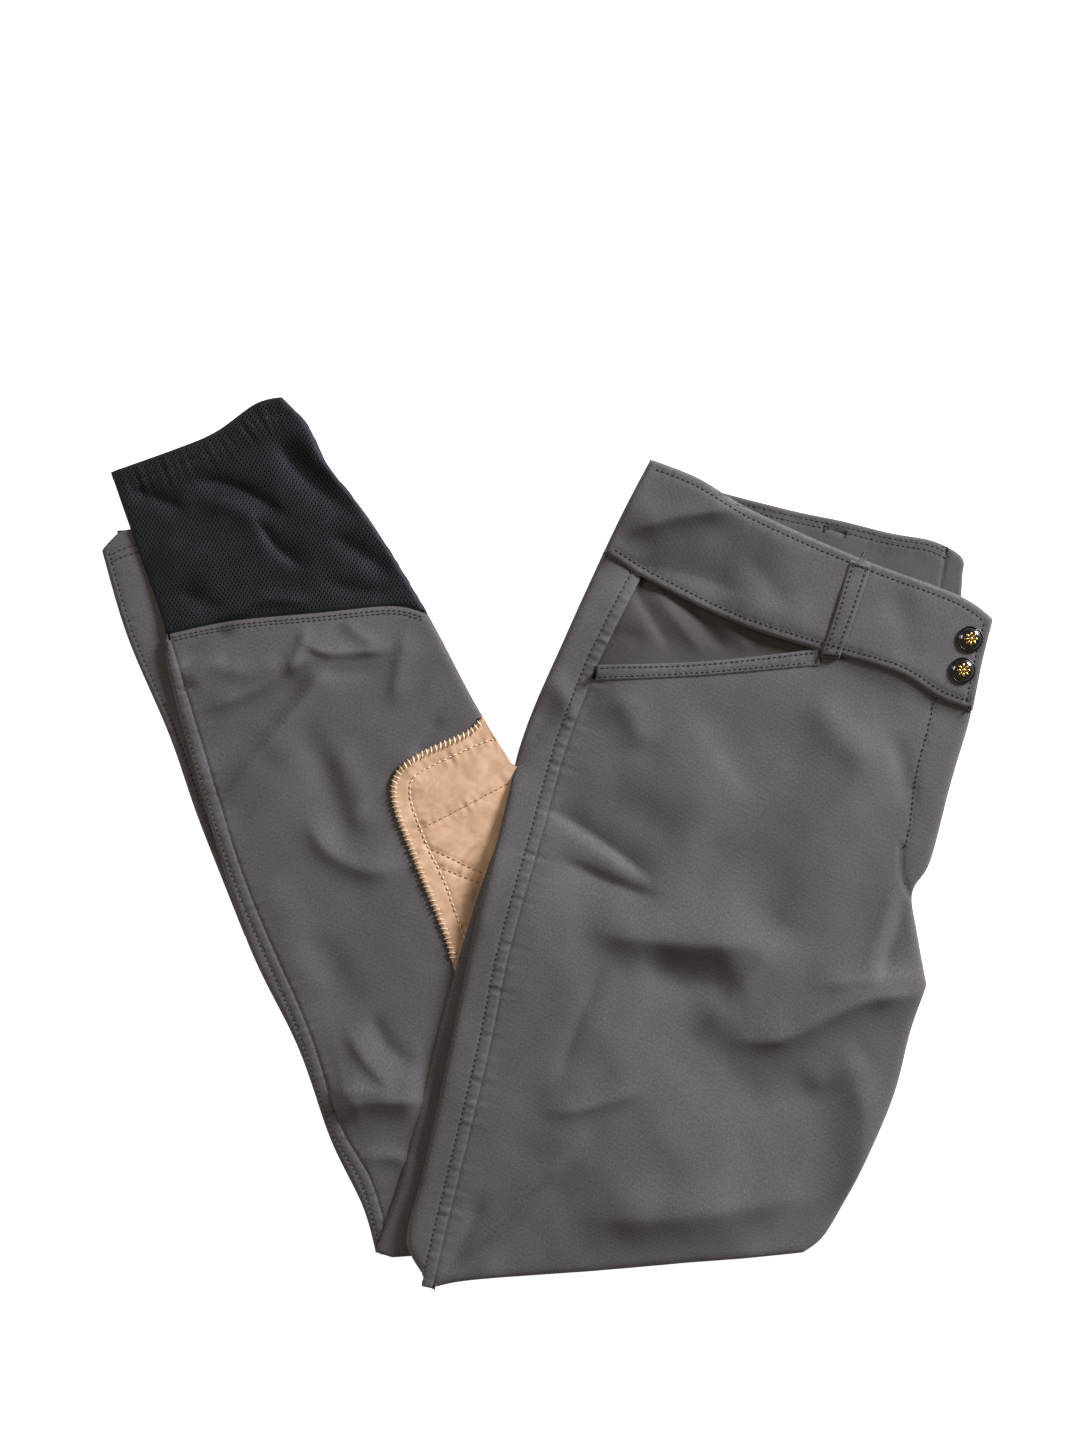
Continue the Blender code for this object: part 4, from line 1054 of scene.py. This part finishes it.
def edge_stack(name, node, cut, ground, layers, material, drop=4.8, wave=0.5, seed=60, clear=3.2):
    """A flat-bottomed stack whose sides bulge once for each layer."""
    net = net_of(cut, 9.0, (1.5, 2.5, 3.0))
    xy = np.array([vertex.co.xy for vertex in net.verts]) / MM
    inside, _, _ = measure(cut + [cut[0]], xy)
    tops = ground(xy) - clear - (drop - clear) * (1 - ease((inside - 1.0) / 6.0))
    for vertex, top in zip(net.verts, tops):
        vertex.co.z = max(top, THINNEST_STACK) * MM
    rim = [edge for edge in net.edges if edge.is_boundary]
    ways = rim_ways(rim, 0.0)
    keys = {vertex: tuple(vertex.co) for edge in rim for vertex in edge.verts}
    for vertex, key in keys.items():
        vertex.co -= ways[key][0] * STACK_INSET * MM
    places = np.array(list(ways))[:, :2] / MM
    for layer in range(layers):
        swing = dict(zip(ways, waves(places, 70.0, wave, seed + layer)))
        for step in range(1, LAYER_STEPS + 1):
            rim, keys = extruded(net, rim, keys)
            down = 1 - (layer + step / LAYER_STEPS) / layers
            bulge = 0.9 * math.sin(math.pi * step / LAYER_STEPS) ** 0.6 - 0.5
            for vertex, key in keys.items():
                move = ways[key][0] * (bulge - STACK_INSET + swing[key] * (step < LAYER_STEPS)) * MM
                vertex.co = Vector((key[0], key[1], key[2] * down)) + move
    bmesh.ops.holes_fill(net, edges=rim)
    bmesh.ops.recalc_face_normals(net, faces=net.faces[:])
    return declare(finished(name, net, wall=0), material, [node])


around_thigh = join(band_left_end, side_fold, fold_right, band_right_end, band_top)
edge_stack("thigh_layers", "hidden_thigh_layers", around_thigh, thigh_ground, 4, CLOTH_INSIDE,
           drop=6.5, clear=6.5)

around_leg = join(leg_left_edge, [(-60.0, -232.0), (-10.0, -20.0)], leg_right_edge, cuff_hem)
edge_stack("leg_layers", "hidden_leg_layers", around_leg, leg_ground, 3, CLOTH_INSIDE,
           drop=3.6, wave=0.3, seed=70)

around_right = join(right_leg_edge, [(-160.0, -58.0), (-190.0, 30.0), (-208.0, 100.0), (-230.0, 184.0)],
                    right_hem)
edge_stack("right_leg_front_panel", "right_front_lower", around_right, right_leg_ground, 1, CLOTH,
           drop=2.2, wave=0.1, seed=80)

around_band = join(back_low, [(228.0, 132.0), (237.0, 131.0)], back_top)
edge_stack("band_layers", "hidden_band_layers", around_band, back_band_ground, 2, CLOTH_INSIDE,
           drop=3.0, wave=0.2, seed=90)

# %% [markdown]
# ## Mesh cuff
#
# A boot hides the cuff, so it is thin knitted mesh. The holes are real: two families of diagonal
# cuts slice the net into small rhombi, each is inset, and its middle is taken out. A second layer
# of the tube shows through them, in the same mesh coloured darker as painted shade.

# %% Cuff
HOLE_ALONG = 2.3
HOLE_ACROSS = 3.4
HOLE_TURN = 8.0
YARN_HALF = 0.58
cuff_left = stretch(leg_left_edge, CUFF_LEFT, MESH_LEFT)
cuff_right = stretch(leg_right_edge, MESH_RIGHT, CUFF_RIGHT)
cuff_cut = join(cuff_left, mesh_seam, cuff_right, cuff_hem)
CUFF_FOLDS = [(cuff_left, 3.5, 2.0, 0.8), (cuff_right, 3.5, 2.0, 0.8), (cuff_hem, 1.8, 1.2, 0.8)]


def cuff_ground(xy):
    """Top of the cuff, with its hem row and the pull of its seam."""
    z = leg_ground(xy) + sunk(cuff_row, xy, 0.5, 1.0) + puckers(cuff_row, xy, 9.0, 0.3, 55)
    return z + sunk(mesh_seam, xy, 0.9, 1.2)


cuff_net = bmesh.new()
cuff_faces = [cuff_net.faces.new([cuff_net.verts.new((x * MM, y * MM, 0.0)) for x, y in cuff_cut])]
cuff_size = cut_size(cuff_net, cuff_cut)
for ring in (0.5, 0.8, 1.0):
    bmesh.ops.inset_region(cuff_net, faces=cuff_faces, thickness=ring * MM, use_boundary=True)
lean = math.atan2(HOLE_ALONG, HOLE_ACROSS)
pitch = HOLE_ALONG * HOLE_ACROSS / 2 / math.hypot(HOLE_ALONG / 2, HOLE_ACROSS / 2)
turn = math.radians(HOLE_TURN)
for side in (1, -1):
    angle = turn + side * lean
    cuff_faces = sliced(cuff_net, cuff_faces, (math.cos(angle), math.sin(angle)), pitch)
whole = 0.8 * HOLE_ALONG * HOLE_ACROSS / 2 * MM ** 2
cells = [face for face in cuff_faces if face.calc_area() > whole]
bmesh.ops.inset_individual(cuff_net, faces=cells, thickness=YARN_HALF * MM, use_even_offset=True)
bmesh.ops.delete(cuff_net, geom=cells, context="FACES")
past_edge(cuff_net, [fold[0] for fold in CUFF_FOLDS], (0.5, 0.5, 0.5))
lift(cuff_net, cuff_ground, CUFF_FOLDS)
cuff = finished("left_cuff_net", cuff_net, wall=0.35, grain=HOLE_TURN)
declare(cuff, MESH, ["left_cuff_mesh"], cuff_size)

CUFF_BACK_FOLDS = [(cuff_left, 5.0, 2.4, 0.8), (cuff_right, 5.0, 2.4, 0.8), (cuff_hem, 3.0, 1.6, 0.8)]
cuff_back = net_of(cuff_cut, 5.0, (1.0,))
lift(cuff_back, lambda xy: leg_ground(xy) - 1.0, CUFF_BACK_FOLDS)
inner_layer = finished("left_cuff_inner_layer", cuff_back, wall=0.4, grain=HOLE_TURN)
declare(inner_layer, MESH_BELOW_PAINTED_SHADE, [], cuff_size)

# %% [markdown]
# ## Knee patch
#
# The inside of the knee carries a suede grip patch. It is whipped down along its edge with cream
# thread, held by a straight row about 10 mm further in, and quilted to the cloth with a few
# slanting rows, each of which pulls the suede into the layer below.

# %% Patch
patch_inner = smooth([(-26.0, 59.0), (-38.6, 55.0), (-64.1, 43.3), (-74.8, 36.9), (-78.0, 29.5),
                      (-76.0, 18.0), (-67.3, -4.6), (-58.0, -24.0), (-46.0, -58.0)], 2.0)
quilt_rows = [smooth([(-73.5, 5.6), (-48.0, 18.5), (-21.0, 33.0)], 2.0),
              smooth([(-69.0, -3.2), (-54.0, -10.5), (-36.5, -19.0)], 2.0),
              smooth([(-62.5, -15.0), (-52.0, -19.0), (-38.0, -25.0)], 2.0)]
patch_cut = join(patch_edge, beside(stretch(side_fold, (-51.0, -98.0), LEGS_MEET), 5.0), [(-20.0, 44.5)],
                 stretch(leg_right_edge, (-21.0, 47.0), (-36.5, 71.0)))
PATCH_ABOVE = 1.5
STRIP_PRESSES = 1.3


def patch_ground(xy):
    """Suede over the leg, gathered by every row that holds it and pressed down under the thigh's edge."""
    z = leg_ground(xy) + PATCH_ABOVE
    z += sunk(patch_inner, xy, 0.4, 1.1) + puckers(patch_inner, xy, 5.0, 0.24, 61)
    z += sum(sunk(row, xy, 0.45, 1.3) + puckers(row, xy, 4.0, 0.2, 62 + index)
             for index, row in enumerate(quilt_rows))
    z += puckers(patch_edge, xy, 4.0, 0.3, 66)
    under_strip, along, _ = measure(left_thigh_edge, xy)
    z -= STRIP_PRESSES * ease((under_strip + 4.0) / 5.0) * ease(along / 30.0)
    return z + waves(xy, 17.0, 0.14, 67) + waves(xy, 6.0, 0.04, 68)


cloth_piece("knee_grip_patch", "knee_patch", patch_cut, patch_ground, SUEDE, 1.1,
            [(patch_edge, 2.0, 1.0, 0.5)], wall=1.0, grain=25.0,
            rings=(0.4, 0.6))

# %% [markdown]
# ## Stitches
#
# A sewing machine leaves a row of short dashes with a dent between them. Each stitch is a little
# capsule of thread laid on the finished cloth: a ray cast down finds the surface at both its ends.
# The patch is whipped by hand or by a zigzag machine, so those stitches lie across its edge.

# %% Lay stitches on cloth
STITCH_PITCH = 3.1
STITCH_LENGTH = 2.3
surfaces = []
for piece in MADE.values():
    depsgraph = bpy.context.evaluated_depsgraph_get()
    surfaces.append(BVHTree.FromObject(piece, depsgraph))


def top_at(x, y):
    """Height in millimetres of the highest cloth at a place."""
    hits = [tree.ray_cast(Vector((x, y, 50.0)) * MM, Vector((0, 0, -1)))[0] for tree in surfaces]
    return max((hit.z / MM for hit in hits if hit is not None), default=0.0)


def add_stitch(net, start, end, thickness, lift_by=0.0):
    """One capsule of thread between two places on the cloth."""
    a = Vector((*start, top_at(*start) + lift_by))
    b = Vector((*end, top_at(*end) + lift_by))
    middle = (a + b) / 2
    middle.z = max(middle.z, top_at(middle.x, middle.y) + lift_by)
    size = Matrix.Diagonal(((b - a).length / 2 * MM, thickness / 2 * MM, thickness / 2 * MM, 1.0))
    turn = (b - a).to_track_quat("X", "Z").to_matrix().to_4x4()
    bmesh.ops.create_uvsphere(net, u_segments=6, v_segments=5, radius=1.0,
                              matrix=Matrix.Translation(middle * MM) @ turn @ size)


def row_places(line, pitch, jitter=0.0, seed=0):
    """Places and directions every pitch along a line."""
    rng = np.random.RandomState(seed)
    walked, places = 0.0, []
    target = pitch / 2
    for (ax, ay), (bx, by) in zip(line, line[1:]):
        length = math.dist((ax, ay), (bx, by))
        while length and target <= walked + length:
            t = (target - walked) / length
            way = ((bx - ax) / length, (by - ay) / length)
            side = rng.uniform(-jitter, jitter)
            places.append(((ax + t * (bx - ax) - way[1] * side, ay + t * (by - ay) + way[0] * side), way))
            target += pitch
        walked += length
    return places


def stitched(name, rows, material, thickness=0.5, pitch=STITCH_PITCH, length=STITCH_LENGTH,
             across=0.0, lift_by=0.12):
    """Rows of stitches joined into one piece; across turns each by an angle to its row."""
    net = bmesh.new()
    rng = np.random.RandomState(len(name))
    for index, line in enumerate(rows):
        for (x, y), (wx, wy) in row_places(line, pitch, 0.08, index):
            angle = math.atan2(wy, wx) + math.radians(across + rng.uniform(-4, 4) * (3 if across else 1))
            dx, dy = math.cos(angle) * length / 2, math.sin(angle) * length / 2
            add_stitch(net, (x - dx, y - dy), (x + dx, y + dy), thickness, lift_by)
    return declare(as_object(name, net), material, [])


thigh_rows = [fell_row, fly_row, *band_rows, band_end_row, *[row[1:-1] for row in loop_rows],
              beside(stretch(pocket_mouth, (31.0, 100.6), (155.0, 109.5)), 1.8),
              beside(stretch(welt_low, (31.0, 92.0), (152.0, 100.6)), -1.6)]
stitched("thigh_topstitching", thigh_rows, DARK_THREAD, thickness=0.9, length=2.0,
         lift_by=0.16)
leg_rows = [leg_fell_row, right_edge_row, *right_hem_rows,
            *[stretch(row, (-214.0, 115.0), (-71.0, 127.0)) for row in binding_rows]]
stitched("leg_topstitching", leg_rows, DARK_THREAD, thickness=0.8, length=2.0,
         lift_by=0.16)
stitched("back_band_topstitching", back_rows, DARK_THREAD, thickness=0.64)
stitched("cuff_topstitching", [cuff_row], BLACK_THREAD)
stitched("patch_rows", [patch_inner], STRAW_THREAD, thickness=0.8, pitch=3.3, length=2.5,
         lift_by=0.3)
stitched("patch_quilting", quilt_rows, TAN_THREAD, thickness=0.7, pitch=3.3, length=2.3,
         lift_by=0.25)
whip_line = beside(stretch(patch_edge, (-38.5, 69.0), (-54.0, -70.5)), -1.2)
stitched("patch_whipping", [whip_line], STRAW_THREAD, thickness=0.95, pitch=2.9, length=5.0,
         across=78.0, lift_by=0.4)
bars = [[(29.3, 92.8), (29.5, 100.2)], [(155.6, 101.6), (158.4, 108.8)], [(160.6, 177.4), (161.6, 181.4)],
        [(172.9, 174.2), (174.0, 178.2)], [(158.6, 106.6), (168.2, 105.9)], [(174.6, 158.3), (185.2, 155.6)]]
stitched("bartacks", bars, DARK_THREAD, thickness=0.5, pitch=0.7, length=1.9, across=88.0,
         lift_by=0.2)
thread_ends = [smooth([(176.0, 158.8), (179.8, 160.4), (182.4, 162.8), (184.4, 166.2)], 0.6),
               smooth([(176.8, 158.2), (181.2, 159.6), (185.0, 162.4)], 0.6)]
stitched("loop_thread_ends", thread_ends, LOOSE_THREAD, thickness=0.5, pitch=0.9, length=1.4,
         lift_by=0.7)

# %% [markdown]
# ## Snaps
#
# Two ring snaps close the waistband. Each cap is brass pressed into a shallow dome with a rolled
# rim, lacquered black. A profile spun round its axis makes the cap, as a press tool's own shape
# would. The maker's mark is left out, and a plain gilt rosette takes its place.

# %% Snap caps
PETALS = 8


def spun(name, profile, centre, material, nodes):
    """A turned piece from (radius, height) pairs in millimetres."""
    net = bmesh.new()
    points = [net.verts.new((max(radius, 0.0) * MM, 0.0, height * MM)) for radius, height in profile]
    edges = [net.edges.new(pair) for pair in zip(points, points[1:])]
    bmesh.ops.spin(net, geom=points + edges, cent=(0, 0, 0), axis=(0, 0, 1), angle=math.tau, steps=48)
    bmesh.ops.remove_doubles(net, verts=net.verts[:], dist=0.01 * MM)
    bmesh.ops.recalc_face_normals(net, faces=net.faces[:])
    bmesh.ops.translate(net, verts=net.verts[:], vec=Vector(centre) * MM)
    return declare(as_object(name, net), material, nodes)


CAP = [(0.0, 3.3), (2.0, 3.24), (3.6, 3.02), (4.8, 2.62), (5.7, 2.05), (6.15, 1.6)]
GROOVE = [(6.15, 1.6), (6.3, 1.35), (6.5, 1.35)]
RIM_EDGE = [(6.45, 1.3), (6.7, 1.75), (7.05, 1.85), (7.4, 1.6), (7.5, 1.1), (7.3, 0.4), (6.9, 0.0),
            (0.0, 0.0)]
SNAP_HEIGHT = 3.9
CAP_ABOVE_RIM = 0.2
ROSETTE_HEIGHT = 3.5
CORE_SIZE = (1.2, 1.2, 0.5)
PETAL_SIZE = (1.25, 0.68, 0.36)
PETAL_PLACE = (2.6, 0.0, -0.2)


def sized(half_sizes):
    """A matrix that makes a ball of radius 1 as large as the three half sizes in millimetres."""
    return Matrix.Diagonal((*(half * MM for half in half_sizes), 1.0))


def rosette(name, centre):
    """A flat round core with a ring of petals."""
    net = bmesh.new()
    bmesh.ops.create_uvsphere(net, u_segments=16, v_segments=8, radius=1.0, matrix=sized(CORE_SIZE))
    for petal in range(PETALS):
        turn = Matrix.Rotation(math.tau * petal / PETALS, 4, "Z")
        place = Matrix.Translation(Vector(PETAL_PLACE) * MM)
        bmesh.ops.create_uvsphere(net, u_segments=10, v_segments=6, radius=1.0,
                                  matrix=turn @ place @ sized(PETAL_SIZE))
    bmesh.ops.translate(net, verts=net.verts[:], vec=Vector(centre) * MM)
    return declare(as_object(name, net), GILT, [])


for name, node in (("upper_snap", "snap_upper"), ("lower_snap", "snap_lower")):
    low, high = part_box(node)
    x, y = (low.x + high.x) / 2 / MM, (low.y + high.y) / 2 / MM
    base = high.z / MM - SNAP_HEIGHT
    spun(name + "_cap", CAP + GROOVE, (x, y, base + CAP_ABOVE_RIM), LACQUER, [node])
    spun(name + "_rim", RIM_EDGE, (x, y, base), RIM, [])
    rosette(name + "_rosette", (x, y, base + ROSETTE_HEIGHT))
    print(name, "at", round(x, 1), round(y, 1))

# %% [markdown]
# ## Camera, floor and light
#
# The camera looks straight down, so heights only show by their shading. A large light from the
# upper right, low over the table, brings out the creases. A weaker one from the other side and a
# warm sky keep the shadows open. The floor is a white light table: it glows, so it stays evenly
# white around the garment, and its shadow there is nearly washed out.

# %% Camera
VIEW_HEIGHT = 0.828
LENS = 50.0
SENSOR = 36.0
MEAN_CLOTH_HEIGHT = 0.009
camera_data = bpy.data.cameras.new("camera")
camera_data.lens = LENS
camera_data.sensor_width = SENSOR
camera = bpy.data.objects.new("camera", camera_data)
camera.location = (-0.0032, 0.069, VIEW_HEIGHT * LENS / SENSOR + MEAN_CLOTH_HEIGHT)
bpy.context.scene.collection.objects.link(camera)
bpy.context.scene.camera = camera
print("camera at", [round(value, 3) for value in camera.location])

# %% Floor
FLOOR_HALF = 3.0
FLOOR_BELOW = 0.0002
floor_net = bmesh.new()
bmesh.ops.create_grid(floor_net, x_segments=1, y_segments=1, size=FLOOR_HALF)
bmesh.ops.translate(floor_net, verts=floor_net.verts[:], vec=(0, 0, -FLOOR_BELOW))
floor = as_object("floor", floor_net)
floor_material, _, floor_shader = new_material("white_light_table", Roughness=0.9, Emission_Strength=1.0)
floor_shader.inputs["Base Color"].default_value = linear("#c8c8c8")
floor_shader.inputs["Emission Color"].default_value = linear("#ffffff")
floor.data.materials.append(floor_material)
print("floor", 2 * FLOOR_HALF, "m wide")

# %% Light
LIGHTS = [
    # name, place in metres, width in metres, power in watts, colour
    ("key", (1.92, 1.44, 0.98), 0.6, 184.0, "#ecf0ff"),
    ("fill", (-1.9, 0.9, 1.5), 0.9, 24.0, "#f6f3f4"),
]
SKY_COLOUR = "#ffe9d2"
SKY_STRENGTH = 0.21


def area_light(name, place, size, power, colour):
    """A soft square light that looks at the middle of the garment."""
    data = bpy.data.lights.new(name, "AREA")
    data.size = size
    data.energy = power
    data.color = linear(colour)[:3]
    light = bpy.data.objects.new(name, data)
    light.location = place
    light.rotation_euler = (-light.location).to_track_quat("-Z", "Y").to_euler()
    bpy.context.scene.collection.objects.link(light)


for values in LIGHTS:
    area_light(*values)
bpy.context.scene.view_settings.view_transform = "Standard"
sky = bpy.data.worlds.new("studio")
sky.use_nodes = True
sky.node_tree.nodes["Background"].inputs["Color"].default_value = linear(SKY_COLOUR)
sky.node_tree.nodes["Background"].inputs["Strength"].default_value = SKY_STRENGTH
bpy.context.scene.world = sky
print("lights:", [values[0] for values in LIGHTS])
